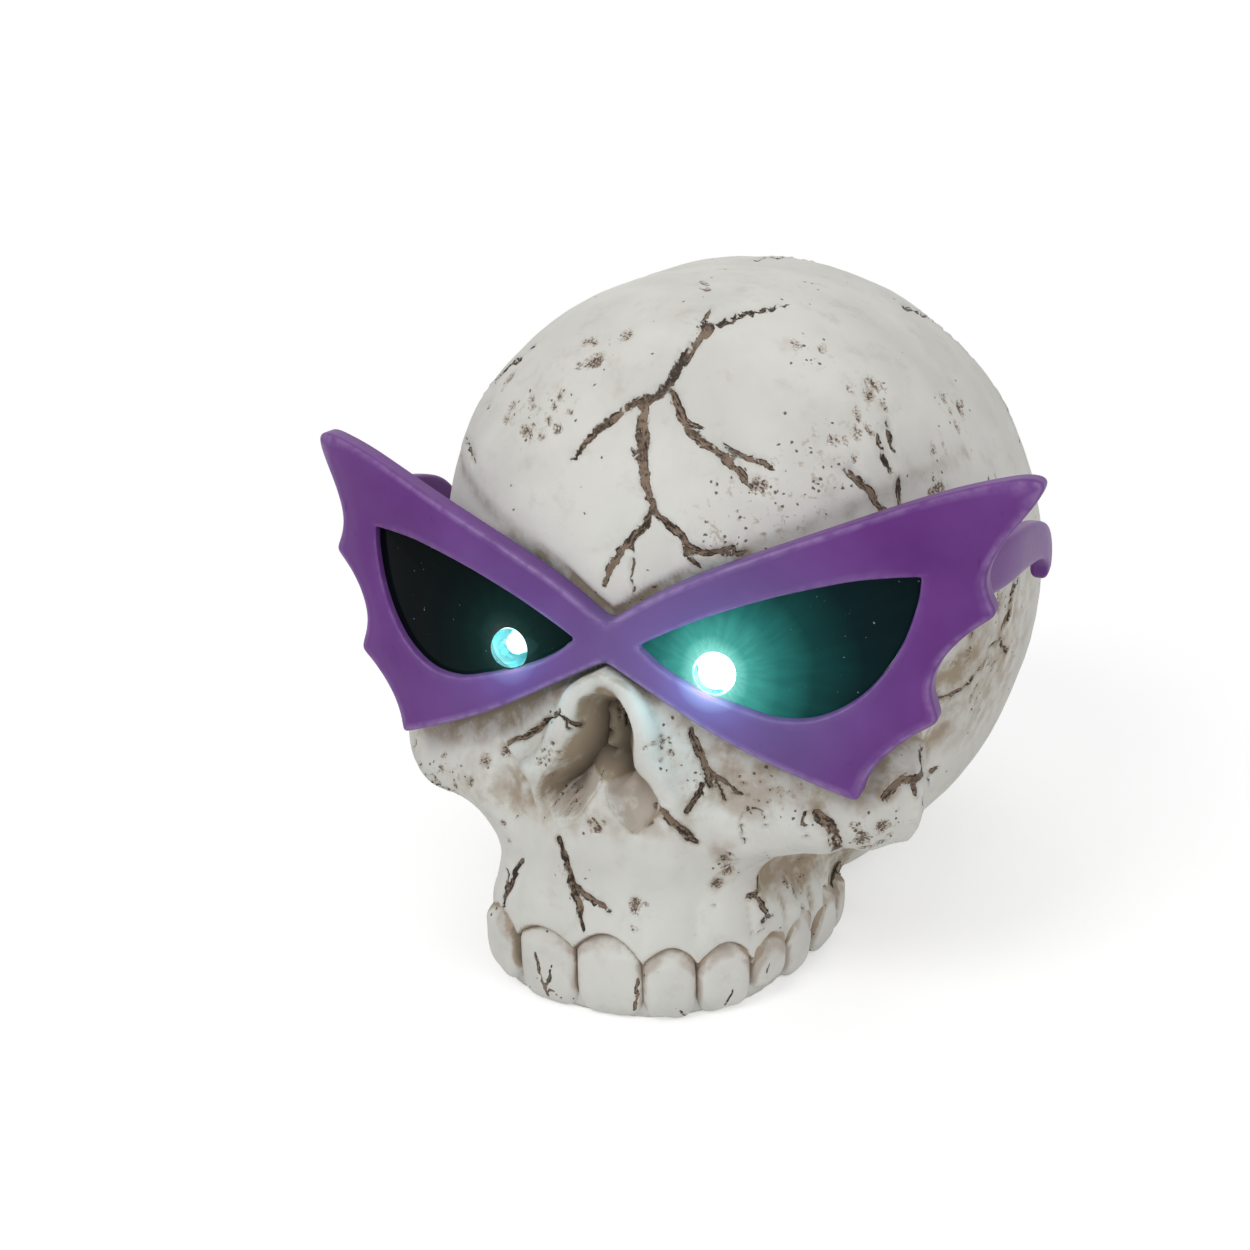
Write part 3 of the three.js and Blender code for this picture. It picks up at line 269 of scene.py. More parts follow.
# Pits and small chips: radius in millimetres, then pixels of the photo.
PITS = [
    (0.5, (851, 390)), (0.4, (829, 441)), (0.55, (836, 441)), (0.4, (845, 439)), (0.5, (857, 412)),
    (0.45, (859, 418)), (0.5, (855, 431)), (0.5, (859, 437)), (0.5, (868, 429)), (0.45, (872, 433)),
    (0.5, (855, 458)), (0.6, (442, 770)), (0.5, (447, 764)), (0.6, (443, 783)), (0.6, (453, 786)),
    (0.45, (464, 778)), (0.8, (488, 759)), (0.7, (479, 777)), (0.4, (446, 754)), (0.5, (505, 823)),
    (0.4, (509, 841)), (0.5, (717, 884)), (0.3, (715, 906)), (0.4, (634, 929)), (0.5, (990, 480)),
    (0.4, (998, 476)), (0.6, (808, 881)), (0.6, (791, 884)), (0.5, (813, 867)), (0.6, (797, 893)),
    (0.9, (626, 335)), (0.9, (590, 362)), (0.8, (598, 357)), (1.1, (508, 377)), (0.8, (506, 750)),
    (0.7, (511, 405)), (0.6, (530, 398)), (0.6, (548, 421)), (0.5, (561, 392)), (0.7, (796, 344)),
    (0.6, (823, 349)), (0.7, (868, 396)), (0.6, (884, 406)), (0.7, (944, 398)), (0.6, (962, 412)),
    (0.9, (724, 858)), (0.8, (717, 883)), (0.5, (635, 912)),
]
# Pinkish brown stains and speckled patches: radius in millimetres, then pixels of the photo.
STAINS = [
    # the stain at pixel (945, 742), in the hollow behind the cheekbone under the wing, is partly painted
    # shade
    (2.2, (726, 846)), (2.4, (735, 795)), (3.4, (752, 800)), (2.5, (945, 742)), (2.5, (865, 760)),
    (2.2, (511, 778)), (1.8, (516, 797)), (3.2, (790, 880)), (2.2, (806, 872)), (1.6, (724, 858)),
    (1.5, (717, 883)),
]
SPECKLES = [
    (2.6, (762, 482)), (4.5, (765, 510)), (4.0, (726, 530)), (4.0, (800, 500)), (3.0, (820, 450)),
    (2.0, (848, 440)), (3.5, (525, 420)), (2.5, (560, 410)), (2.5, (868, 392)), (2.0, (880, 398)),
    (3.0, (950, 405)), (2.2, (812, 352)), (2.0, (937, 490)), (2.0, (725, 852)), (1.6, (722, 868)),
    (2.6, (866, 826)), (2.2, (884, 822)), (2.6, (448, 776)), (1.8, (462, 770)), (2.0, (547, 757)),
    (1.6, (594, 826)), (2.4, (566, 792)), (2.5, (690, 780)), (3.0, (790, 800)), (2.6, (668, 742)),
    (2.0, (610, 735)), (3.5, (985, 700)), (3.0, (1010, 620)), (2.0, (700, 330)), (2.0, (605, 350)),
    (1.6, (565, 870)), (1.5, (792, 882)), (2.2, (650, 600)), (2.2, (690, 600)),
]
# Groups of pits: middle and half size in pixels, how many, and their radius in millimetres.
CLUSTERS = [
    (524, 412, 40, 24, 15, 0.5), (500, 385, 20, 12, 4, 0.42), (875, 391, 8, 12, 9, 0.45),
    (959, 409, 7, 11, 8, 0.42), (958, 435, 6, 10, 5, 0.35), (934, 449, 13, 10, 7, 0.35),
    (939, 489, 8, 11, 10, 0.42), (706, 283, 6, 8, 7, 0.36), (590, 350, 22, 16, 6, 0.45),
    (962, 649, 14, 20, 10, 0.5), (1003, 600, 7, 13, 7, 0.5), (938, 706, 9, 5, 5, 0.45),
    (985, 703, 6, 14, 6, 0.5), (1000, 666, 10, 6, 5, 0.45), (868, 828, 16, 12, 18, 0.42),
    (726, 858, 6, 14, 9, 0.42), (752, 792, 44, 14, 12, 0.34), (595, 826, 10, 6, 8, 0.32),
    (548, 762, 12, 20, 16, 0.3), (572, 796, 22, 12, 16, 0.3), (660, 748, 16, 12, 8, 0.3),
    (756, 486, 8, 5, 12, 0.32), (640, 904, 6, 4, 3, 0.5), (620, 712, 5, 5, 4, 0.25),
]

# Modelled relief of the face: height and radius in millimetres, then the pixels that the stroke runs through.
STROKES = [
    (0.9, 1.5, [(508, 748), (519, 758), (529, 773), (537, 800)]),
    (-0.9, 0.75, [(502, 746), (512, 756), (522, 772), (529, 803)]),  # edge between cheek and side of the nose
    (-1.1, 2.4, [(506, 778), (514, 800)]),
    (-0.7, 1.8, [(543, 752), (534, 778), (537, 806)]),  # valley outside the rim of the nose
    (1.3, 3.2, [(742, 845), (775, 843), (808, 838), (832, 840)]),  # lower edge of the cheekbone
    (-2.2, 2.8, [(776, 872), (800, 874), (824, 869)]),  # recess under it
    (-1.1, 1.7, [(818, 812), (834, 826), (843, 842), (848, 856)]),  # joint behind the cheekbone
    (1.4, 6.5, [(880, 812)]),
    (0.9, 1.3, [(914, 735), (914, 757), (911, 777), (909, 800), (901, 828)]),  # corner of the temple bone
    (-1.4, 3.4, [(948, 742), (938, 752)]),
    (0.45, 1.7, [(754, 825)]),
    (-0.7, 2.4, [(716, 798), (738, 800)]),
    (-1.0, 3.0, [(724, 770), (770, 790), (820, 800)]),  # shelf under the sunglasses
    (-0.8, 2.4, [(430, 742), (470, 738), (510, 725)]),
    (1.7, 5.0, [(440, 772), (462, 780), (484, 788)]),  # lower corner of the other cheekbone
    (-1.5, 13.0, [(1026, 620), (1008, 680)]),  # flatter side of the cranium
    (-2.6, 4.0, [(853, 866), (852, 884)]),  # notch between the jaw and the bone behind it
    (1.0, 1.7, [(791, 890), (795, 925)]),  # roots of the back teeth
    (1.0, 1.7, [(814, 878), (818, 910)]),
]


def srgb(text):
    """Linear red, green, blue of a six-figure sRGB hex colour."""
    values = np.array([int(text[i:i + 2], 16) for i in (1, 3, 5)]) / 255
    linear = np.where(values <= 0.04045, values / 12.92, ((values + 0.055) / 1.055) ** 2.4)
    return tuple(float(v) for v in linear)


def per(size):
    """Texture scale, in repeats per metre, for a pattern of this size in millimetres."""
    return 1 / (size * MM)


# Curves and noise

NOISE_CELLS = 32  # along each side of the block of random values, which repeats
NOISE_OFFSET = 97  # keeps the part clear of the lattice's corner


def run_along(points):
    """Distance of each point from the first one, along the line."""
    return np.concatenate([[0], np.cumsum(np.linalg.norm(np.diff(points, axis=0), axis=1))])


def through(points, steps, closed=False):
    """Catmull-Rom curve: cubics whose slope at each point is half the difference of its neighbours."""
    p = np.asarray(points, float)
    if closed:
        p = np.vstack([p[-1:], p, p[:2]])
    else:
        p = np.vstack([2 * p[0] - p[1], p, 2 * p[-1] - p[-2]])
    t = np.linspace(0, 1, steps, endpoint=False)[None, :, None]
    a, b, c, d = (p[i:len(p) - 3 + i, None, :] for i in range(4))
    curve = b + 0.5 * t * (c - a + t * (2 * a - 5 * b + 4 * c - d + t * (3 * (b - c) + d - a)))
    curve = curve.reshape(-1, p.shape[1])
    return curve if closed else np.vstack([curve, p[-2]])


def even(points, count, closed=False):
    """The same line with its points at equal distances along it."""
    p = np.vstack([points, points[:1]]) if closed else np.asarray(points)
    run = run_along(p)
    at = np.linspace(0, run[-1], count, endpoint=not closed)
    return np.stack([np.interp(at, run, p[:, i]) for i in range(p.shape[1])], axis=1)


def value_noise(points, size, seed):
    """Lattice noise from -1 to 1: random values at the corners of cubes, with smooth steps between them."""
    table = np.random.default_rng(seed).uniform(-1, 1, (NOISE_CELLS,) * 3)
    q = points / size + NOISE_OFFSET
    cell = np.floor(q).astype(int)
    f = q - cell
    f = f * f * (3 - 2 * f)
    total = np.zeros(len(points))
    for corner in range(8):
        step = np.array([corner & 1, corner >> 1 & 1, corner >> 2 & 1])
        weight = np.prod(np.where(step, f, 1 - f), axis=1)
        i = (cell + step) % NOISE_CELLS
        total += weight * table[i[:, 0], i[:, 1], i[:, 2]]
    return total


def smooth_step(low, high, value):
    """0 below low, 1 above high and a smooth cubic between them."""
    t = np.clip((value - low) / (high - low), 0, 1)
    return t * t * (3 - 2 * t)


# Distances in a plane


class PlaneField:
    """Values of a function of x and z on a lattice round a loop, read by bilinear interpolation."""

    def __init__(self, loop, value, margin=8.0, step=0.3):
        self.low = loop.min(0) - margin
        self.step = step
        counts = np.ceil((loop.max(0) + margin - self.low) / step).astype(int) + 1
        lines = (low + np.arange(n) * step for low, n in zip(self.low, counts))
        grid = np.stack(np.meshgrid(*lines, indexing="ij"), axis=-1)
        self.values = value(grid.reshape(-1, 2), loop).reshape(counts)

    def at(self, x, z):
        u = np.clip((x - self.low[0]) / self.step, 0, self.values.shape[0] - 1.001)
        v = np.clip((z - self.low[1]) / self.step, 0, self.values.shape[1] - 1.001)
        i, j = u.astype(int), v.astype(int)
        s, t = u - i, v - j
        g = self.values
        near = g[i, j] * (1 - s) + g[i + 1, j] * s
        return near * (1 - t) + (g[i, j + 1] * (1 - s) + g[i + 1, j + 1] * s) * t


def loop_distance(points, loop):
    """Least distance from plane points to a closed loop."""
    nearest = np.full(len(points), 1e9)
    for start, end in zip(loop, np.roll(loop, -1, axis=0)):
        run = end - start
        t = np.clip((points - start) @ run / max(run @ run, 1e-12), 0, 1)
        nearest = np.minimum(nearest, np.linalg.norm(points - start - t[:, None] * run, axis=1))
    return nearest


def signed_distance(points, loop):
    """Distance to a closed loop, negative where a line to one side crosses it an odd number of times."""
    crossings = np.zeros(len(points), int)
    for start, end in zip(loop, np.roll(loop, -1, axis=0)):
        run = end - start
        spans = (start[1] > points[:, 1]) != (end[1] > points[:, 1])
        x = start[0] + (points[:, 1] - start[1]) * run[0] / (run[1] if run[1] else 1e-12)
        crossings += spans & (points[:, 0] < x)
    return np.where(crossings % 2 == 1, -1, 1) * loop_distance(points, loop)


def half_outline(stretches, steps=12):
    """One curve through the stretches, in millimetres in x and z, without its last point."""
    parts = [through(np.array(s) * GLASSES_SPAN, steps)[:-1] for s in stretches]
    return np.vstack(parts) + [0, BRIDGE_Z]


def full_front_outline():
    half = np.vstack([half_outline(WING_STRETCHES), [[0, BRIDGE_Z - 0.024 * GLASSES_SPAN]]])
    return np.vstack([half, (half * [-1, 1])[::-1][1:-1]])


NOSE_LOOP = even(through(NOSE_OUTLINE, 6, closed=True), 120, closed=True)
FRONT_AREA = PlaneField(full_front_outline(), signed_distance)
NOSE_AREA = PlaneField(NOSE_LOOP, signed_distance, 8.0, 0.2)


def front_y(x, z):
    """Depth of the face of the sunglasses: a parabola across and a straight backward lean upwards."""
    return BRIDGE_Y + FRONT_BOW * (x / (GLASSES_SPAN / 2)) ** 2 + FRONT_LEAN * (z - BRIDGE_Z)


# The head as a signed distance, negative inside

TRACE_END = 0.004  # a ray stops this close to the head
TRACE_MET = 0.25  # and has met it where it ends this close
BEFORE_HEAD = 130  # where rays from the camera start, still in front of the head
ROUND_HEAD = 110  # a distance from the core that is outside the head everywhere


def melt_together(a, b, k):
    """Smaller of two distances with the corner rounded over a width k."""
    h = np.maximum(k - np.abs(a - b), 0) / k
    return np.minimum(a, b) - h * h * k / 4


def melt_away(a, b, k):
    """Larger of two distances, rounded the same way."""
    return -melt_together(-a, -b, k)


def ellipsoid_distance(p, mass):
    """Length of the point in radii times that length less 1, over its length in squared radii."""
    centre, radii = np.array(mass[:3]) * SKULL_LENGTH, np.array(mass[3:]) * SKULL_LENGTH
    q = (p - centre) / radii
    k0 = np.linalg.norm(q, axis=1)
    k1 = np.linalg.norm(q / radii, axis=1)
    return k0 * (k0 - 1) / np.maximum(k1, 1e-9)


def chain_distance(p, points, radius):
    """Distance to a chain of round bars: the least distance to its segments less the radius."""
    a, b = np.array(points[:-1]), np.array(points[1:])
    run = b - a
    arm = p[:, None, :] - a
    t = np.clip(np.einsum("nmi,mi->nm", arm, run) / np.einsum("mi,mi->m", run, run), 0, 1)
    return np.linalg.norm(arm - t[..., None] * run, axis=2).min(1) - radius


def jaw_plan():
    """Directions about the jaw's middle in rising order, and the radius of its plan in each."""
    knots = np.vstack([TOOTH_JOINTS, [JAW_BACK]]) - JAW_MIDDLE
    length = np.linalg.norm(knots, axis=1, keepdims=True)
    loop = through(knots * (length - TOOTH_STANDOUT) / length, 8, closed=True)
    turn = np.arctan2(loop[:, 1], loop[:, 0])
    order = np.argsort(turn)
    return turn[order], np.linalg.norm(loop, axis=1)[order]


JAW_TURNS, JAW_RADII = jaw_plan()


def tooth_position(turn):
    """Number of the tooth, and the share across it, in one direction about the jaw's middle."""
    arms = TOOTH_JOINTS - JAW_MIDDLE
    joint_turns = -np.unwrap(np.arctan2(arms[:, 1], arms[:, 0]))
    wrapped = np.where(-turn < joint_turns[0] - 0.6, -turn + 2 * math.pi, -turn)
    return np.interp(wrapped, joint_turns, np.arange(len(joint_turns)))


def gum_height(turn):
    """Height of the gum's edge: arches that rise as a sine over each tooth between the tips at its joints."""
    place = np.clip(tooth_position(turn), 0, len(GUM_TOPS) - 1e-6)
    tooth = place.astype(int)
    share = place - tooth
    tips = np.array(GUM_TIPS)
    base = tips[tooth] * (1 - share) + tips[tooth + 1] * share
    return base + (np.array(GUM_TOPS)[tooth] - base) * np.sin(math.pi * share) ** 0.7


def above_gum(p):
    """Height over the gum's edge."""
    return p[:, 2] - gum_height(np.arctan2(p[:, 1] - JAW_MIDDLE[1], p[:, 0] - JAW_MIDDLE[0]))


def jaw_distance(p):
    """Upright column under the face with a rounded top, and a lip where the gum ends over the teeth."""
    arm = p[:, :2] - JAW_MIDDLE
    turn = np.arctan2(arm[:, 1], arm[:, 0])
    radius = np.interp(turn, JAW_TURNS, JAW_RADII, period=2 * math.pi)
    above = above_gum(p)
    lip = GUM_LIP * smooth_step(-0.5, 0.5, above) * (1 - smooth_step(1.0, 9.0, above))
    front = smooth_step(*GUM_LIP_Y, p[:, 1])
    side = np.linalg.norm(arm, axis=1) - radius - lip * front
    return melt_away(side, p[:, 2] - JAW_TOP, MELT)


def nose_floor(points, _loop):
    """Depth of the opening's floor: the thin-plate spline (a plane and a sum of squared distances times their
    logarithms) that passes close to the given depths."""
    depth = np.array([d for d, _ in NOSE_DEPTHS])
    rays = pixel_rays([pixel for _, pixel in NOSE_DEPTHS])
    top, _ = trace(CAMERA_PLACE + rays * BEFORE_HEAD, rays, closed_distance)
    facing = -np.einsum("ni,ni->n", outward(top, closed_distance), rays)
    at = (top + rays * (depth / np.maximum(facing, 0.6))[:, None])[:, [0, 2]]

    def bend(a, b):
        r2 = ((a[:, None] - b) ** 2).sum(2)
        return r2 * np.log(r2 + 1e-9)

    plane = np.column_stack([np.ones(len(at)), at])
    system = np.block([[bend(at, at) + SPLINE_SLACK * np.eye(len(at)), plane], [plane.T, np.zeros((3, 3))]])
    weights = np.linalg.solve(system, np.append(depth, [0, 0, 0]))
    surface = bend(points, at) @ weights[:-3] + np.column_stack([np.ones(len(points)), points]) @ weights[-3:]
    return np.clip(surface, *NOSE_DEPTH_RANGE)


def nose_hollow(p, closed):
    """How far a point lies in the nasal opening: within an outline that narrows inwards, above the floor."""
    x, _, z = p.T
    taper = NOSE_TAPER + NOSE_TAPER_RIGHT * smooth_step(0, -3, x)
    within = -NOSE_AREA.at(x, z) - taper * np.clip(-closed, 0, 8)
    return melt_together(within, 0.6 * (NOSE_FLOOR.at(x, z) + closed), 0.35)


def closed_distance(p):
    """The head before its nasal opening is cut."""
    return head_distance(p, open_nose=False)


def head_distance(p, open_nose=True):
    """Masses melted together, then hollowed by the sockets, the nose and the room for the sunglasses."""
    side = np.column_stack([np.abs(p[:, 0]), p[:, 1:]])
    d = ellipsoid_distance(p, MASSES[0])
    for mass in MASSES[1:]:
        d = melt_together(d, ellipsoid_distance(p, mass), MELT)
    for mass in PAIRS:
        d = melt_together(d, ellipsoid_distance(side, mass), MELT)
    d = melt_together(d, jaw_distance(p), MELT)
    for mass in PAIR_HOLLOWS:
        d = melt_away(d, -ellipsoid_distance(side, mass), HOLLOW_MELT)
    near = np.linalg.norm(p - NOSE_PLACE, axis=1) < NOSE_REACH
    if near.any():
        q = p[near]
        e = d[near]
        for rim in NOSE_RIMS:
            e = melt_together(e, chain_distance(q, rim, NOSE_RIM_RADIUS), NOSE_RIM_MELT)
        d[near] = melt_away(e, nose_hollow(q, e), NOSE_MELT) if open_nose else e
    x, y, z = p.T
    behind = y - (front_y(x, z) + FRONT_THICKNESS + FRONT_GAP)
    room = melt_away(FRONT_AREA.at(x, z) - FRONT_ROOM, behind, 0.5)
    d = melt_away(d, -room, 1.0)
    return melt_away(d, -z, STANDING_EDGE)


def trace(start, direction, distance=head_distance, steps=70, share=0.75):
    """Walks each ray on by a share of the distance to the head. Returns where they end and which arrived."""
    point = np.array(start, float)
    active = np.arange(len(point))
    travelled = np.zeros(len(point))
    for _ in range(steps):
        d = distance(point[active])
        point[active] += direction[active] * (share * d)[:, None]
        travelled[active] += share * d
        active = active[(np.abs(d) > TRACE_END) & (travelled[active] < 4 * SKULL_LENGTH)]
        if not len(active):
            break
    return point, np.abs(distance(point)) < TRACE_MET


def outward(p, distance=head_distance, reach=0.15):
    """Unit gradient of the head's distance, by central differences."""
    g = np.stack([distance(p + e) - distance(p - e) for e in np.eye(3) * reach], axis=1)
    return g / np.maximum(np.linalg.norm(g, axis=1, keepdims=True), 1e-9)


# Camera and what it sees


def camera_axes():
    """Right, up and forward of the camera from its turn, height and roll."""
    a, e, r = (math.radians(v) for v in (CAMERA_AZIMUTH, CAMERA_ELEVATION, CAMERA_ROLL))
    forward = np.array([-math.sin(a) * math.cos(e), math.cos(a) * math.cos(e), -math.sin(e)])
    right = np.array([math.cos(a), math.sin(a), 0])
    up = np.cross(right, forward)
    return right * math.cos(r) + up * math.sin(r), up * math.cos(r) - right * math.sin(r), forward


def pixel_rays(pixels):
    """Directions from the camera through pixels of the photo's frame."""
    right, up, forward = camera_axes()
    u, w = np.asarray(pixels, float).T
    half = IMAGE_PIXELS / 2
    d = forward + ((u - half)[:, None] * right - (w - half)[:, None] * up) / FOCAL_PIXELS
    return d / np.linalg.norm(d, axis=1, keepdims=True)


NOSE_FLOOR = PlaneField(NOSE_LOOP, nose_floor, 3.0, 0.2)


def on_head(pixels):
    """Points of the head's surface that the photo shows at these pixels, and which of the pixels meet it."""
    rays = pixel_rays(pixels)
    return trace(CAMERA_PLACE + rays * BEFORE_HEAD, rays)


def on_head_by_angles(angles):
    """Points of the head seen from behind the sunglasses' bridge, at a turn from the face and a height."""
    turn, height = np.radians(np.asarray(angles, float)).T
    d = np.stack([np.sin(turn) * np.cos(height), -np.cos(turn) * np.cos(height), np.sin(height)], axis=1)
    return trace(BEHIND_BRIDGE + d * ROUND_HEAD, -d)


# Cracks

CRACK_JUMP = 6.0  # neighbours further apart lie on two parts of the surface, with nothing between them
NO_CRACK = 9.0
CRACK_OFFSET = 37.0  # gives each crack other fibres


def cluster_marks():
    """Pits scattered evenly over the ellipse of each group, as radius and pixel."""
    rng = np.random.default_rng(SEED + 5)
    marks = list(PITS)
    for x, y, wide, high, count, radius in CLUSTERS:
        turn = rng.uniform(0, 2 * math.pi, count)
        away = 1.15 * np.sqrt(rng.uniform(0, 1, count))
        places = np.stack([x + wide * away * np.cos(turn), y + high * away * np.sin(turn)], axis=1)
        marks += [(radius * size, tuple(place)) for size, place in zip(rng.uniform(0.6, 1.3, count), places)]
    return marks


def ragged(line, amount, rng):
    """The line with each point moved at random, a little smoothed, so that it wanders as a hand tool does."""
    offset = rng.normal(0, amount, line.shape)
    offset = (np.roll(offset, 1, 0) + 2 * offset + np.roll(offset, -1, 0)) / 2.6
    offset[0] *= 0.3
    offset[-1] *= 0.3
    return line + offset


def crack_chains(groups):
    """Every crack as points with a width at each, thinner towards its free end. A group is some lines, what
    puts them on the surface, how far they wander and the gap between their points."""
    rng = np.random.default_rng(SEED)
    chains = []
    for lines, place, amount, gap in groups:
        for width, line in lines:
            curve = through(line, 8)
            curve = ragged(even(curve, max(4, int(run_along(curve)[-1] / gap))), amount, rng)
            points, met = place(curve)
            points = points[met]
            if len(points) < 2:
                continue
            jumps = np.linalg.norm(np.diff(points, axis=0), axis=1)
            share = np.linspace(0, 1, len(points))
            swell = rng.uniform(0.7, 1.2, len(points))
            ends = np.minimum(np.minimum(1, 3.5 * (1 - share)), 0.5 + 3.5 * share)
            widths = width * swell * (0.35 + 0.65 * ends ** 0.7)
            chains.append((points, widths, jumps < CRACK_JUMP))
    return chains


def crack_fields(p, normals, chains, reach=3.5):
    """For each point: distance to the nearest crack over half its width, the same with a sign for its side,
    and how far along the crack it lies."""
    near = np.full(len(p), NO_CRACK)
    signed = np.full(len(p), NO_CRACK)
    along = np.zeros(len(p))
    offset = 0.0
    for points, widths, solid in chains:
        low, high = points.min(0) - reach, points.max(0) + reach
        inside = np.flatnonzero(((p > low) & (p < high)).all(1))
        a, run = points[:-1][solid], np.diff(points, axis=0)[solid]
        if len(inside) and len(a):
            length2 = np.maximum((run ** 2).sum(1), 1e-9)
            arm = p[inside][:, None, :] - a
            t = np.clip(np.einsum("nmi,mi->nm", arm, run) / length2, 0, 1)
            away = np.linalg.norm(arm - t[..., None] * run, axis=2)
            best = away.argmin(1)
            row = np.arange(len(inside))
            w = widths[:-1][solid][best] / 2
            distance = away[row, best] / w
            turned = np.einsum("ni,ni->n", np.cross(run[best], arm[row, best]), normals[inside])
            starts = np.concatenate([[0], np.cumsum(np.sqrt(length2))])[:-1]
            take = distance < near[inside]
            hit = inside[take]
            near[hit] = distance[take]
            signed[hit] = (distance * np.sign(turned))[take]
            along[hit] = (offset + starts[best] + t[row, best] * np.sqrt(length2[best]))[take]
        offset += CRACK_OFFSET
    return near, signed, along


def spots(p, marks):
    """Sum of soft round marks: a bell curve of the distance to each mark's place on the head."""
    places, met = on_head([pixel for _, pixel in marks])
    total = np.zeros(len(p))
    for (radius, _), place in zip([m for m, ok in zip(marks, met) if ok], places[met]):
        near = np.flatnonzero((np.abs(p - place) < 3 * radius).all(1))
        total[near] += np.exp(-((p[near] - place) ** 2).sum(1) / radius ** 2)
    return total


def relief(p, strokes):
    """Sum of the strokes: each one's height times a bell curve of the distance to its line on the head."""
    total = np.zeros(len(p))
    for height, radius, pixels in strokes:
        line = even(through(pixels, 6), 3 * len(pixels)) if len(pixels) > 1 else np.array(pixels, float)
        places, met = on_head(line)
        places = places[met]
        if not len(places):
            continue
        if len(places) == 1:
            places = np.vstack([places, places + 1e-3])
        near = np.flatnonzero((np.abs(p - places.mean(0)) < np.ptp(places, axis=0) / 2 + 3 * radius).all(1))
        if len(near):
            total[near] += height * np.exp(-(chain_distance(p[near], places, 0) / radius) ** 2)
    return total


# Meshes


def ring_faces(rows, columns, close_rows=False):
    """Quads of a grid whose columns close round, and whose rows may too."""
    r = np.arange(rows if close_rows else rows - 1)[:, None]
    c = np.arange(columns)[None, :]
    next_r, next_c = (r + 1) % rows, (c + 1) % columns
    corners = [r * columns + c, r * columns + next_c, next_r * columns + next_c, next_r * columns + c]
    return np.stack(corners, axis=-1).reshape(-1, 4).tolist()


def capped(grid):
    """Points and faces of a closed skin: rings, the first and last of them closed by one point each."""
    rows, columns = grid.shape[:2]
    points = np.vstack([grid.reshape(-1, 3), grid[0].mean(0), grid[-1].mean(0)])
    faces = ring_faces(rows, columns)
    c = np.arange(columns)
    first = np.stack([(c + 1) % columns, c, np.full(columns, rows * columns)], axis=1)
    last = (rows - 1) * columns
    end = np.stack([last + c, last + (c + 1) % columns, np.full(columns, rows * columns + 1)], axis=1)
    return points, faces + first.tolist() + end.tolist()


def joined(parts):
    """Points and faces of several skins as one."""
    points, faces, start = [], [], 0
    for p, f in parts:
        points.append(p)
        faces += [[i + start for i in face] for face in f]
        start += len(p)
    return np.vstack(points), faces


def add_piece(name, points, faces, materials, replaced=(), body="skull", fields=None, sharp=None):
    """Makes one piece at the origin from points in millimetres, with its faces turned outwards."""
    metres = (np.asarray(points) + [0, FRAME_SHIFT, 0]) * MM
    mesh = bpy.data.meshes.new(name)
    mesh.from_pydata(metres.tolist(), [], faces)
    if mesh.validate():
        raise RuntimeError(f"{name} has faces that are not valid")
    for field, values in (fields or {}).items():
        layer = mesh.attributes.new(field, "FLOAT", "POINT")
        layer.data.foreach_set("value", np.asarray(values, np.float32))
    mesh.calc_loop_triangles()
    order = np.empty(len(mesh.loop_triangles) * 3, np.int32)
    mesh.loop_triangles.foreach_get("vertices", order)
    a, b, c = metres[order.reshape(-1, 3)].transpose(1, 0, 2)
    if np.einsum("ni,ni->n", a, np.cross(b, c)).sum() < 0:
        mesh.flip_normals()
    mesh.shade_smooth()
    if sharp is not None:
        mesh.set_sharp_from_angle(angle=math.radians(sharp))
    for material in materials:
        mesh.materials.append(material)
    piece = bpy.data.objects.new(name, mesh)
    bpy.context.scene.collection.objects.link(piece)
    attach(piece, body)
    if replaced:
        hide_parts(*replaced)
    return piece


def apply_modifiers(piece):
    """Puts the result of a piece's modifiers into its mesh."""
    graph = bpy.context.evaluated_depsgraph_get()
    made = bpy.data.meshes.new_from_object(piece.evaluated_get(graph), depsgraph=graph)
    piece.modifiers.clear()
    piece.data = made


def cut_box(piece, low, high):
    """Takes a box in frame metres out of a piece."""
    corners = [[(low, high)[i >> k & 1][k] for k in range(3)] for i in range(8)]
    faces = [(0, 2, 3, 1), (4, 5, 7, 6), (0, 1, 5, 4), (2, 6, 7, 3), (0, 4, 6, 2), (1, 3, 7, 5)]
    mesh = bpy.data.meshes.new("pocket")
    mesh.from_pydata(corners, [], faces)
    tool = bpy.data.objects.new("pocket", mesh)
    bpy.context.scene.collection.objects.link(tool)
    cut = piece.modifiers.new("pocket", "BOOLEAN")
    cut.operation, cut.solver, cut.object = "DIFFERENCE", "EXACT", tool
    bpy.context.view_layer.update()
    apply_modifiers(piece)
    bpy.data.objects.remove(tool)


# Materials


def add_node(tree, kind, inputs=None, stops=None, **settings):
    """Adds one node with its settings, the stops of a colour ramp, and values or links for its inputs."""
    made = tree.nodes.new(kind)
    for name, value in settings.items():
        setattr(made, name, value)
    if stops:
        ramp = made.color_ramp
        while len(ramp.elements) < len(stops):
            ramp.elements.new(1)
        for element, (position, colour) in zip(ramp.elements, stops):
            element.position, element.color = position, (*colour, 1)
    for socket, value in (inputs or {}).items():
        if isinstance(value, bpy.types.NodeSocket):
            tree.links.new(value, made.inputs[socket])
        else:
            made.inputs[socket].default_value = value
    return made


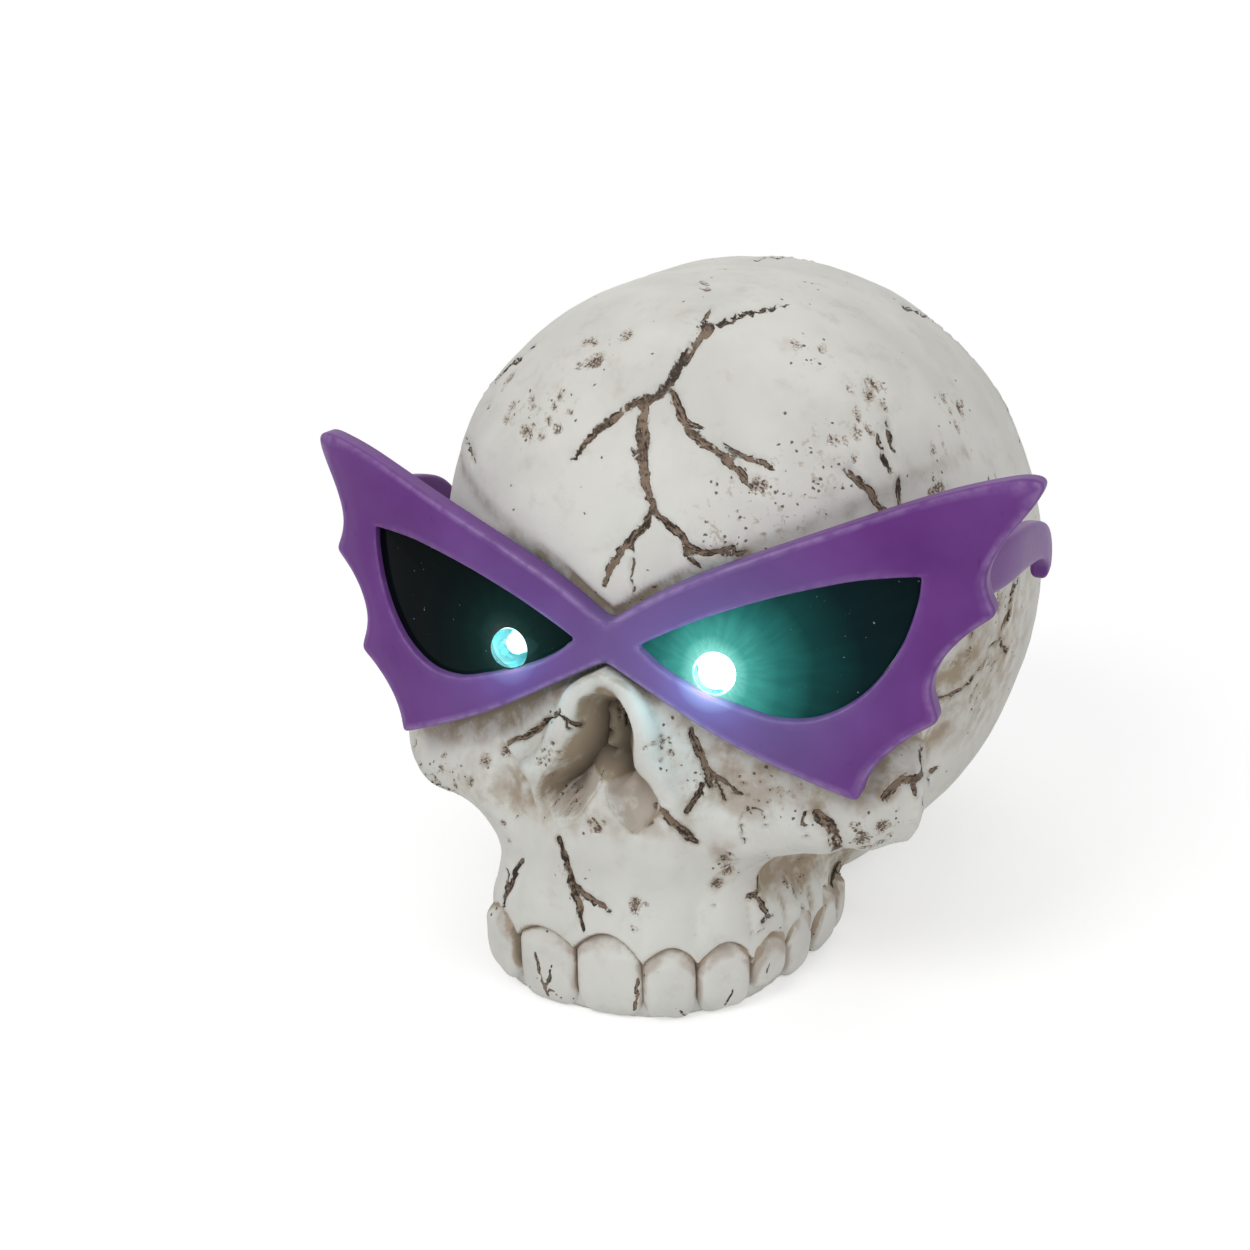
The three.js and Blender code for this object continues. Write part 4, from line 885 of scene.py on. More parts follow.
class Finish:
    """A material with one Principled shader, and short names for the nodes that feed it."""

    def __init__(self, name, **sockets):
        self.material = bpy.data.materials.new(name)
        self.material.use_nodes = True
        self.tree = self.material.node_tree
        self.shader = self.tree.nodes["Principled BSDF"]
        self.place = self.add("ShaderNodeTexCoord").outputs["Object"]
        self.feed(**sockets)

    def feed(self, **sockets):
        """Sets or links the shader's sockets, given by name with underscores for spaces."""
        for socket, value in sockets.items():
            target = self.shader.inputs[socket.replace("_", " ")]
            if isinstance(value, bpy.types.NodeSocket):
                self.tree.links.new(value, target)
            else:
                target.default_value = value

    def add(self, kind, inputs=None, stops=None, **settings):
        return add_node(self.tree, kind, inputs, stops, **settings)

    def attribute(self, name):
        return self.add("ShaderNodeAttribute", attribute_name=name).outputs["Fac"]

    def noise(self, size, detail=3.0, rough=0.5, output="Fac"):
        """Noise in the object's own space, with a grain of this size in millimetres."""
        inputs = {"Vector": self.place, "Scale": per(size), "Detail": detail, "Roughness": rough}
        return self.add("ShaderNodeTexNoise", inputs).outputs[output]

    def math(self, operation, a, b=0.0, c=0.0):
        return self.add("ShaderNodeMath", {0: a, 1: b, 2: c}, operation=operation).outputs[0]

    def vector(self, operation, *vectors, output=0, **named):
        inputs = dict(enumerate(vectors), **named)
        return self.add("ShaderNodeVectorMath", inputs, operation=operation).outputs[output]

    def band(self, value, low, high, start=0.0, end=1.0, shape="LINEAR"):
        """The value's way from low to high as one from start to end."""
        inputs = {0: value, 1: low, 2: high, 3: start, 4: end}
        return self.add("ShaderNodeMapRange", inputs, interpolation_type=shape).outputs[0]

    def mixed(self, share, first, second):
        return self.add("ShaderNodeMix", {0: share, 6: first, 7: second}, data_type="RGBA").outputs[2]

    def ramp(self, share, stops):
        return self.add("ShaderNodeValToRGB", {0: share}, stops=stops).outputs[0]

    def away_from(self, centre):
        """Place as seen from a centre in millimetres on the skull's axes."""
        x, y, z = centre
        shift = (-x * MM, -(y + FRAME_SHIFT) * MM, -z * MM)
        return self.add("ShaderNodeMapping", {"Vector": self.place, "Location": shift}).outputs[0]

    def bump(self, height, strength, distance):
        """Fine relief up to a distance in millimetres."""
        inputs = {"Height": height, "Strength": strength, "Distance": distance * MM}
        self.feed(Normal=self.add("ShaderNodeBump", inputs).outputs[0])


def painted_resin(look):
    """Polyresin, cast in a silicone mould, sprayed matt bone white and rubbed with a brown antiquing wash.

    It gives a chalky, faintly mottled white that keeps brown in every low place and none on the high ones;
    its wash colour also paints shadow under the sunglasses and shade in the nasal opening."""
    finish = Finish("polyresin_cast_painted_antiqued", Roughness=0.72, IOR=1.46)
    sums, mixed = finish.math, finish.mixed
    field = {
        name: finish.attribute(name)
        for name in ("crack_near", "crack_side", "crack_along", "wash", "pits", "stain", "speckle")
    }

    def noise(size, detail=3.0, rough=0.55):
        return finish.noise(size, detail, rough)

    def band(value, low, high, start=0.0, end=1.0):
        return finish.band(value, low, high, start, end, "SMOOTHSTEP")

    def varied(value, pattern, strength):
        """The value with a pattern added that swings evenly about nought."""
        return sums("ADD", value, sums("MULTIPLY_ADD", pattern, strength, -strength / 2))

    bone, pale = (*look.bone_colour, 1), (*look.bone_highlight, 1)
    wash, stain = (*look.wash_and_shade_colour, 1), (*look.stain_colour, 1)
    dark, strand = (*look.crack_colour, 1), (*look.strand_colour, 1)
    # sprayed white, cloudy and mottled
    colour = mixed(band(noise(16, 4), 0.35, 0.68), bone, pale)
    grain = noise(1.1, 4, 0.65)
    colour = mixed(band(noise(4.5, 5, 0.65), 0.52, 0.74, 0.0, 0.22), colour, wash)
    fleck = sums("MULTIPLY", band(grain, 0.57, 0.66), sums("MULTIPLY", field["speckle"], 0.55))
    colour = mixed(sums("MINIMUM", fleck, 0.8), colour, wash)
    # wash left in the low places, painted shadow under the sunglasses' front and painted shade in the nasal
    # opening, and stains
    washed_and_shaded = sums("MULTIPLY_ADD", band(noise(2.6, 4, 0.6), 0.3, 0.7), 0.7, 0.45)
    washed_and_shaded = band(sums("MULTIPLY", field["wash"], washed_and_shaded), 0.08, 0.85)
    colour = mixed(washed_and_shaded, colour, wash)
    # the highest values turn grey brown: deep wash, and painted shade in the nasal opening
    colour = mixed(band(field["wash"], 0.9, 1.5, 0.0, 0.85), colour, (*look.deep_wash_and_shade_colour, 1))
    stained = sums("MULTIPLY", field["stain"], band(noise(3.2, 4), 0.25, 0.7))
    colour = mixed(band(stained, 0.1, 0.9, 0.0, 0.65), colour, stain)
    # pinholes of the casting, filled with wash
    bent = finish.vector("SCALE", finish.noise(0.5, 2.0, output="Color"), Scale=0.5 * MM)
    bent = finish.vector("ADD", finish.place, bent)
    cells = finish.add("ShaderNodeTexVoronoi", {"Vector": bent, "Scale": per(0.72), "Randomness": 1.0})
    chance = finish.add("ShaderNodeSeparateColor", {0: cells.outputs["Color"]}).outputs[0]
    clumps = sums("MULTIPLY", field["speckle"], band(noise(2.4, 2), 0.38, 0.62, 0.1, 1.0))
    many = sums("MAXIMUM", sums("MULTIPLY", band(noise(7, 2), 0.42, 0.72), 0.05), clumps)
    kept = sums("GREATER_THAN", chance, sums("MULTIPLY_ADD", many, -0.5, 0.997))
    dots = sums("MULTIPLY", band(cells.outputs["Distance"], 0.33, 0.2), kept)
    # pits, each with a stained edge
    fine = noise(0.45, 3.0, 0.6)
    ragged_pits = varied(field["pits"], noise(0.3, 2.0, 0.5), 3.4)
    halo = sums("MULTIPLY", band(ragged_pits, 0.1, 0.5), band(field["pits"], 0.1, 0.4, 0.0, 0.6))
    pit = sums("MULTIPLY", band(ragged_pits, 0.78, 0.95), band(field["pits"], 0.25, 0.4))
    colour = mixed(halo, colour, stain)
    filling = mixed(band(fine, 0.42, 0.6, 0.1, 0.6), dark, strand)
    colour = mixed(sums("MULTIPLY", pit, 0.9), colour, filling)
    colour = mixed(sums("MULTIPLY", dots, 0.9), colour, mixed(0.25, dark, strand))
    # cracks: long splinters that lie with the crack, dark where they are deep and tan where wash dried on
    across, along = sums("MULTIPLY", field["crack_side"], 1.1), sums("MULTIPLY", field["crack_along"], 0.5)
    course = finish.add("ShaderNodeCombineXYZ", {0: across, 1: along}).outputs[0]
    fibres = finish.add(
        "ShaderNodeTexNoise", {"Vector": course, "Scale": 1.5, "Detail": 3.0, "Roughness": 0.6}
    ).outputs["Fac"]
    edge = varied(varied(field["crack_near"], fibres, 1.7), fine, 0.9)
    edge = sums("ADD", edge, band(noise(2.6, 2), 0.6, 0.75, 0.0, 0.7))
    inside = sums("MULTIPLY", band(edge, 1.12, 0.92), band(field["crack_near"], 2.0, 1.6))
    tone = varied(varied(fibres, noise(5.0, 2), 0.7), fine, 0.5)
    rope = sums("MULTIPLY", band(tone, 0.37, 0.55), band(field["crack_near"], 1.0, 0.68))
    colour = mixed(inside, colour, mixed(rope, dark, strand))
    height = sums("MULTIPLY_ADD", grain, 0.14, sums("MULTIPLY", fine, 0.09))
    height = sums("MULTIPLY_ADD", sums("MAXIMUM", inside, sums("MAXIMUM", dots, pit)), -0.5, height)
    height = sums("MULTIPLY_ADD", sums("MULTIPLY", inside, rope), 0.35, height)
    finish.feed(Base_Color=colour, Roughness=sums("MULTIPLY_ADD", noise(3.0), 0.16, 0.64))
    finish.bump(height, 0.55, 0.4)
    return finish.material


# Painted glow of a lamp on the lacquer, given as emission: share of its reach, and the glow's colour there.
PAINTED_GLOW_STOPS = [
    (0.0, (1.0, 1.0, 1.0)), (0.03, (0.4, 0.8, 0.9)), (0.09, (0.1, 0.27, 0.3)), (0.2, (0.06, 0.16, 0.18)),
    (0.45, (0.04, 0.1, 0.11)), (0.75, (0.012, 0.03, 0.035)), (1.0, (0.0, 0.0, 0.0)),
]
PAINTED_GLOW_START, PAINTED_GLOW_END = 2.6, 24  # how far from a lamp the painted glow on the lacquer begins and ends
# Painted glow of a lamp on its lens, given as emission, the same way.
LENS_PAINTED_GLOW_STOPS = [
    (0.0, (0.75, 1.0, 0.97)), (0.03, (0.25, 0.8, 0.7)), (0.09, (0.06, 0.38, 0.33)),
    (0.2, (0.018, 0.16, 0.145)), (0.34, (0.005, 0.05, 0.048)), (0.55, (0.0015, 0.012, 0.014)),
    (1.0, (0, 0.002, 0.003)),
]
LENS_PAINTED_GLOW_START, LENS_PAINTED_GLOW_END = 3.7, 30


def moulded_purple(look):
    """ABS, injection moulded and sprayed satin purple: even, with soft highlights and a faint ripple, a
    painted glow of the lamps round them and a painted highlight, partly worn paint, along its edges.
    """
    finish = Finish("abs_moulded_satin_purple", IOR=1.5, Specular_IOR_Level=0.24)
    cloud = finish.noise(9)
    colour = finish.ramp(cloud, [(0.3, look.plastic_colour), (0.75, look.plastic_highlight)])
    speck = finish.noise(1.6, 2.0)
    colour = finish.mixed(finish.band(speck, 0.7, 0.76, 0.0, 0.35), colour, (*srgb("#3C2458"), 1))
    # along the edges a painted highlight, partly worn paint, mixed in by the edge_line attribute
    worn = finish.math("MULTIPLY", finish.attribute("edge_line"), finish.band(speck, 0.3, 0.6, 0.2, 0.8))
    colour = finish.mixed(worn, colour, (*look.edge_wear_and_highlight_colour, 1))
    # painted glow of the lamps on the lacquer close to them, given as emission that fades with distance
    painted_glows = []
    for side, share in ((1, 1.0), (-1, 0.4)):
        x, z = led_middle(side)
        shifted = finish.away_from((x, led_tip() + 1.5, z))
        reach = finish.band(finish.vector("LENGTH", shifted, output="Value"), PAINTED_GLOW_START * MM, PAINTED_GLOW_END * MM)
        stops = [(place, tuple(share * v for v in tone)) for place, tone in PAINTED_GLOW_STOPS]
        painted_glows.append(finish.ramp(reach, stops))
    finish.feed(
        Base_Color=colour, Roughness=finish.band(cloud, 0.3, 0.7, 0.34, 0.44),
        Emission_Color=finish.vector("ADD", *painted_glows), Emission_Strength=0.42,
    )
    finish.bump(finish.noise(2.5, 2.0), 0.12, 0.3)
    return finish.material


def smoked_acrylic(name, look, led, painted_glow_strength):
    """Cast acrylic sheet, smoked and polished: near black and glossy, with a painted glow of the lamp on it,
    given as emission.
    """
    finish = Finish(name, IOR=1.49, Specular_IOR_Level=0.035)
    shifted = finish.away_from(led)
    cloud = finish.noise(9)
    colour = finish.ramp(cloud, [(0.35, look.lens_colour), (0.7, look.lens_tint)])
    # drift and light hold the painted glow, fading from the lamp across the lens
    drift = finish.math("MULTIPLY_ADD", cloud, 3 * MM, finish.vector("LENGTH", shifted, output="Value"))
    light = finish.ramp(finish.band(drift, LENS_PAINTED_GLOW_START * MM, LENS_PAINTED_GLOW_END * MM), LENS_PAINTED_GLOW_STOPS)
    # painted flare: the painted glow is made stronger and weaker in rays from the lamp
    heading = finish.vector("NORMALIZE", shifted)
    rays = finish.add("ShaderNodeTexNoise", {"Vector": heading, "Scale": 9.0, "Detail": 3.0}).outputs["Fac"]
    light = finish.vector("SCALE", light, Scale=finish.band(rays, 0.4, 0.66, 0.92, 1.1))
    # pale specks mixed into the lens's base colour, on a grain that also varies its roughness
    speck_grain = finish.noise(0.5, 2.0)
    pale_specks = finish.band(speck_grain, 0.74, 0.78, 0.0, 0.6)
    finish.feed(
        Base_Color=finish.mixed(pale_specks, colour, (*srgb("#A9BDBD"), 1)),
        Roughness=finish.band(speck_grain, 0.6, 0.8, 0.09, 0.35), Emission_Color=light, Emission_Strength=painted_glow_strength,
    )
    return finish.material


def clear_epoxy():
    """Epoxy, cast clear round the lamp's die: water-clear with a sharp highlight, and a painted cyan glow of
    the die given as emission, brighter at its edges.
    """
    finish = Finish("epoxy_cast_clear", Roughness=0.03, IOR=1.53, Transmission_Weight=1.0)
    colour = finish.ramp(finish.noise(1.2, 2.0), [(0.3, srgb("#BFF4FA")), (0.8, srgb("#F2FFFF"))])
    # painted glow: the die's light in the epoxy given as emission, stronger where the surface is seen edge-on
    facing = finish.add("ShaderNodeLayerWeight", {"Blend": 0.5}).outputs["Facing"]
    tones = [
        (0.0, (0.02, 0.1, 0.1)), (0.45, (0.03, 0.25, 0.27)), (0.8, (0.1, 0.75, 0.85)), (1.0, (0.4, 1.0, 1.0)),
    ]
    finish.feed(Base_Color=colour, Emission_Color=finish.ramp(facing, tones), Emission_Strength=0.55)
    return finish.material


def lit_phosphor(look, side):
    """Phosphor over a blue die, dispensed in its cup and lit: white hot in the middle, cyan at its rim."""
    finish = Finish(f"phosphor_lit_cyan_white_{side}", Base_Color=(1, 1, 1, 1), Roughness=0.5)
    facing = finish.add("ShaderNodeLayerWeight", {"Blend": 0.35}).outputs["Facing"]
    tones = [(0.25, (1, 1, 1)), (0.62, look.light_colour), (0.95, look.light_rim_colour)]
    strength = look.light_strength * (1.0 if side == "left" else 0.35)
    finish.feed(Emission_Color=finish.ramp(facing, tones), Emission_Strength=strength)
    return finish.material


def plain_finish(name, colours, size, roughness, metallic=0.0, bump=0.1):
    """A moulded, extruded or plated finish: two close colours and a roughness that drift with one grain."""
    finish = Finish(name, Metallic=metallic, IOR=1.5)
    grain = finish.noise(size)
    colour = finish.ramp(grain, [(0.35, srgb(colours[0])), (0.7, srgb(colours[1]))])
    finish.feed(Base_Color=colour, Roughness=finish.band(grain, 0.3, 0.7, *roughness))
    finish.bump(grain, bump, 0.2)
    return finish.material


# Skull casting and teeth

HEAD_ROWS = 246
HEAD_COLUMNS = 396
HEAD_CROWDING = 1.5


def head_directions():
    """Directions from the core by angle from the nasal opening, denser near it, and turn about that line."""
    axis = NOSE_PLACE - CORE
    axis /= np.linalg.norm(axis)
    upward = np.cross(axis, [1.0, 0, 0])
    upward /= np.linalg.norm(upward)
    across = np.cross(upward, axis)
    share = (np.arange(HEAD_ROWS) + 0.5) / HEAD_ROWS
    polar = math.pi * share ** HEAD_CROWDING
    turn = 2 * math.pi * np.arange(HEAD_COLUMNS) / HEAD_COLUMNS
    polar, turn = polar[:, None, None], turn[None, :, None]
    aside = np.cos(turn) * across + np.sin(turn) * upward
    return (np.cos(polar) * axis + np.sin(polar) * aside).reshape(-1, 3)


WASH_REACHES = (2.0, 6.0)  # how far out other surface makes a small and a wide hollow
GUM_BACK, NOSE_BACK, FRONT_WASH_SHADOW_BACK = -14, -38, -15  # each of these washes, and the painted shade and shadow that go with them, lies in front of this depth
BOWL_TOP, BOWL_EDGE, BOWL_SLOPE = 32.4, (-4.4, 31.4), 0.9  # upper edge of the nasal opening's lighter bowl, stained tan and kept clear of the painted shade


def surface_fields(p, normals, chains):
    """Crack, wash and shade, stain and speckle values of points on the head. Wash is left where other surface
    is close, round cracks and pits, along the gum, in the nasal opening but for its bowl, and round and under
    the front; in the nasal opening it is partly painted shade that darkens with depth, and below the front
    partly a painted shadow."""
    near, side, along = crack_fields(p, normals, chains)
    x, y, z = p.T
    small, wide = (np.clip(1 - head_distance(p + normals * reach) / reach, 0, 1) for reach in WASH_REACHES)
    pits = spots(p, cluster_marks())
    halo = 0.3 * np.exp(-np.clip(near - 1, 0, None) ** 2 / 0.6)
    gum = np.where(y < GUM_BACK, np.exp(-((above_gum(p) + 0.05) / 0.4) ** 2), 0)
    depth = np.clip(-closed_distance(p), 0, 9)
    in_nose = smooth_step(0.12, 0.3, depth) * (NOSE_AREA.at(x, z) < 1) * (y < NOSE_BACK)
    bowl_top = np.minimum(BOWL_TOP, BOWL_EDGE[1] + BOWL_SLOPE * (x - BOWL_EDGE[0]))
    bowl = in_nose * smooth_step(0.3, -0.3, z - bowl_top)
    # round the front's outline: wash in the gap and a painted shadow of the front, wider and stronger below
    # its wings
    under = smooth_step(2, -2, z - BRIDGE_Z + 0.22 * np.abs(x)) * smooth_step(5, 10, np.abs(x))
    front_gap_wash_and_shadow = np.exp(-(FRONT_AREA.at(x, z) / (1.6 + 1.2 * under)) ** 2) * (y < FRONT_WASH_SHADOW_BACK)
    # in the nasal opening the wash is partly painted shade, darker with depth, and the bowl, which faces the
    # light, is lifted out of it
    low = (1.3 * small + 0.5 * wide) * (1 - in_nose) + in_nose * (0.95 + 0.1 * depth)
    low = low - bowl * (0.78 + 0.32 * (x < -0.6))
    wash = low + halo + 0.3 * pits + 1.2 * gum + (0.4 + 0.3 * under) * front_gap_wash_and_shadow
    return {
        "crack_near": near, "crack_side": side, "crack_along": along, "wash": np.clip(wash, 0, 1.5),
        "pits": np.clip(pits, 0, 1.2), "stain": np.clip(spots(p, STAINS) + 1.5 * bowl, 0, 1.5),
        "speckle": np.clip(spots(p, SPECKLES), 0, 1),
    }


TRENCH_END, LIP_PLACE = 1.15, 1.45  # in half widths of the crack


def groove(near, look):
    """Height of a crack over its half width: a rounded trench between two low raised lips."""
    depth, lip = look.crack_depth / MM, look.crack_lip / MM
    trench = (1 - np.clip(near, 0, TRENCH_END) ** 2 / TRENCH_END ** 2) ** 1.5
    return lip * np.exp(-((near - LIP_PLACE) / 0.4) ** 2) - depth * trench


UNEVENNESS = [(0.26, 11), (0.11, 4.5), (0.05, 1.8)]  # height and size of each grain
PIT_DEPTH = 0.35
SOCKET_BACK = -20
FRONT_CLEARANCE = 0.3  # how far the face draws back behind the sunglasses
POCKET_GAP = 0.3


def build_skull(look):
    """Points where rays from the core leave the head's distance field, moved along its gradient by relief."""
    rays = head_directions()
    base, _ = trace(CORE + rays * ROUND_HEAD, -rays)
    normals = outward(base)
    groups = ((CRACKS, on_head, 1.2, 5.0), (HIDDEN_CRACKS, on_head_by_angles, 0.5, 1.0))
    fields = surface_fields(base, normals, crack_chains(groups))
    modelled = relief(base, STROKES)
    fields["wash"] += np.clip(-0.35 * modelled, 0, 0.8)
    uneven = sum(height * value_noise(base, size, SEED + i) for i, (height, size) in enumerate(UNEVENNESS))
    hidden = smooth_step(1.5, -0.5, FRONT_AREA.at(base[:, 0], base[:, 2])) * (base[:, 1] < SOCKET_BACK)
    standing = smooth_step(0.4, 2.0, base[:, 2])
    rough = 1 + 0.5 * value_noise(base, 1.6, SEED + 3)
    carved = groove(fields["crack_near"], look) * rough - PIT_DEPTH * np.clip(fields["pits"], 0, 1)
    lift = (uneven * look.unevenness + carved + modelled) * standing * (1 - hidden) - FRONT_CLEARANCE * hidden
    shell = base + normals * lift[:, None]
    points, faces = capped(shell.reshape(HEAD_ROWS, HEAD_COLUMNS, 3))
    full = {name: np.append(v, [v[0], v[-1]]) for name, v in fields.items()}
    material = painted_resin(look)
    piece = add_piece("skull_shell", points, faces, [material], ["skull_casting"], fields=full)
    gap = POCKET_GAP * MM
    for name in ("battery_box", "switch_body"):
        low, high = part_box(name)
        cut_box(piece, (low.x - gap, low.y - gap, -MM), (high.x + gap, high.y + gap, high.z + gap))
    build_teeth(material)


TOOTH_ROWS = 46
TOOTH_COLUMNS = 84
TOOTH_DEPTH = 6.0
TOOTH_ROOT = 2.2  # how far a tooth goes on under the gum
TOOTH_SETBACK = 2.2  # from the line through its joints to its middle
ON_TOOTH = 0.45  # a ray meets the teeth where it passes this close to one of their points


def power(value, exponent):
    """The value's size raised to the exponent, with the value's sign."""
    return np.sign(value) * np.abs(value) ** exponent


def even_angles(low, high, shares, wide, deep):
    """Angles between two ends at even steps along a superellipse of these two exponents."""
    t = np.linspace(low, high, 6001)
    run = run_along(np.stack([power(np.cos(t), wide), power(np.sin(t), deep)], axis=1))
    return np.interp(shares * run[-1], run, t)


def build_teeth(material):
    """Each tooth is a rounded block: a sphere's grid whose sines and cosines are raised to small powers,
    narrowed at its neck and set back where it goes into the gum."""
    quarter = math.pi / 2
    lat = even_angles(-quarter, quarter, (np.arange(TOOTH_ROWS) + 0.5) / TOOTH_ROWS, 0.4, 0.62)[:, None]
    lon = even_angles(0, 4 * quarter, np.arange(TOOTH_COLUMNS) / TOOTH_COLUMNS, 0.42, 0.62)[None, :]
    parts, washes, stains = [], [], []
    for tooth, (a, b) in enumerate(zip(TOOTH_JOINTS[:-1], TOOTH_JOINTS[1:])):
        chord = b - a
        width = np.linalg.norm(chord)
        along = chord / width
        out = np.array([along[1], -along[0]])
        out *= np.sign(out @ ((a + b) / 2 - JAW_MIDDLE))
        top, low = GUM_TOPS[tooth] + TOOTH_ROOT, TOOTH_BOTTOMS[tooth]
        across = power(np.cos(lat), 0.35) * power(np.cos(lon), 0.42)
        deep = power(np.cos(lat), 0.45) * power(np.sin(lon), 0.62)
        height = power(np.sin(lat), 0.62) * np.ones_like(lon)
        share = (height + 1) / 2
        narrow = 1 - 0.13 * share ** 2 - 0.03 * (1 - share) ** 2
        x = 0.515 * width * across * narrow
        y = TOOTH_DEPTH / 2 * deep - TOOTH_DEPTH / 4 * smooth_step(0.62, 0.86, share) * (deep > 0)
        z = low + (top - low) * share
        level = np.stack([x.ravel(), y.ravel(), np.zeros(x.size)], axis=1)
        worn = value_noise(level + 9 * tooth, 2.2, SEED + 50).reshape(z.shape)
        z = z + 0.55 * np.clip(worn + 0.1, 0, 1) * smooth_step(0.5, 0.1, share)
        plan = (a + b) / 2 - out * (TOOTH_SETBACK - TOOTH_PUSH[tooth])
        ground = plan + x[..., None] * along + y[..., None] * out
        grid = np.concatenate([ground, z[..., None]], axis=-1)
        flat = grid.reshape(-1, 3)
        bumps = 0.14 * value_noise(flat, 3.5, SEED + 10 + tooth)
        bumps += 0.05 * value_noise(flat, 1.4, SEED + 30 + tooth)
        flat[:, :2] += (bumps * smooth_step(0, 1.5, flat[:, 2]))[:, None] * out
        grid = flat.reshape(grid.shape)
        parts.append(capped(grid))
        under = z - gum_height(np.arctan2(ground[..., 1] - JAW_MIDDLE[1], ground[..., 0] - JAW_MIDDLE[0]))
        wash = 1.3 * smooth_step(0.9, 0.99, np.abs(across)) + 1.0 * smooth_step(-0.7, 0.0, under)
        stain = 0.8 * smooth_step(-2.6, -1.0, under) + 0.85 * smooth_step(0.76, 0.93, np.abs(across))
        stain += TOOTH_STAINS[tooth]
        for values, kept in ((wash, washes), (stain, stains)):
            flat_values = np.clip(values, 0, 1.3).ravel()
            kept.append(np.append(flat_values, [flat_values[0], flat_values[-1]]))
    points, faces = joined(parts)
    points[:, 2] = np.maximum(points[:, 2], 0.0)

    def on_teeth(pixels):
        rays = pixel_rays(pixels)
        arms = points - CAMERA_PLACE
        depth = arms @ rays.T
        aside = np.sqrt(np.maximum((arms ** 2).sum(1)[:, None] - depth ** 2, 0))
        best = np.where(aside < ON_TOOTH, depth, 1e6).argmin(0)
        return points[best], aside[best, np.arange(len(rays))] < ON_TOOTH

    outwards = points - [*JAW_MIDDLE, 0]
    chains = crack_chains([(TOOTH_CRACKS, on_teeth, 0.6, 4.0)])
    near, side, along = crack_fields(points, outwards, chains, 2.0)
    fields = {
        "crack_near": near, "crack_side": side, "crack_along": along, "wash": np.concatenate(washes),
        "pits": np.zeros(len(points)), "stain": np.concatenate(stains), "speckle": np.full(len(points), 0.05),
    }
    add_piece("upper_teeth", points, faces, [material], fields=fields)


# Sunglasses


def matched(outer, inner):
    """Points of the inner loop in the same directions from the lens's middle as those of the outer one."""
    middle = np.array(LENS_MIDDLE) * GLASSES_SPAN + [0, BRIDGE_Z]
    angle = np.unwrap(np.arctan2(*(outer - middle).T[::-1]))
    sense = -1 if angle[-1] < angle[0] else 1
    rising = np.maximum.accumulate(sense * angle) + np.linspace(0, 1e-3, len(angle))
    arms = inner - middle
    turn, radius = np.arctan2(arms[:, 1], arms[:, 0]), np.linalg.norm(arms, axis=1)
    order = np.argsort(turn)
    t = sense * rising
    r = np.interp(t, turn[order], radius[order], period=2 * math.pi)
    return middle + r[:, None] * np.stack([np.cos(t), np.sin(t)], axis=1)


def inward_normals(loop):
    """Unit normals of a closed plane loop, towards its inside."""
    step = np.roll(loop, -1, 0) - np.roll(loop, 1, 0)
    area = 0.5 * np.sum(loop[:, 0] * np.roll(loop[:, 1], -1) - np.roll(loop[:, 0], -1) * loop[:, 1])
    n = np.stack([-step[:, 1], step[:, 0]], axis=1) * np.sign(area)
    return n / np.maximum(np.linalg.norm(n, axis=1, keepdims=True), 1e-9)


def rounded(loop, radius):
    """The closed loop with eased corners: each point is the mean of its neighbours under a bell curve."""
    step = np.linalg.norm(loop[1] - loop[0])
    count = int(3 * radius / step)
    weights = np.exp(-((np.arange(-count, count + 1) * step / radius) ** 2))
    weights /= weights.sum()
    return sum(w * np.roll(loop, k, axis=0) for w, k in zip(weights, range(-count, count + 1)))


def round_over(distance, radius):
    """Drop of a quarter-round edge at a distance from it."""
    return radius * (1 - np.sqrt(1 - (1 - np.clip(distance / radius, 0, 1)) ** 2))


FRONT_COLUMNS = 440
FRONT_EASE, LENS_EASE = 0.85, 0.3
LENS_EDGE = 0.4  # rounding of the edge round the lens
FRONT_CROWN = 0.2


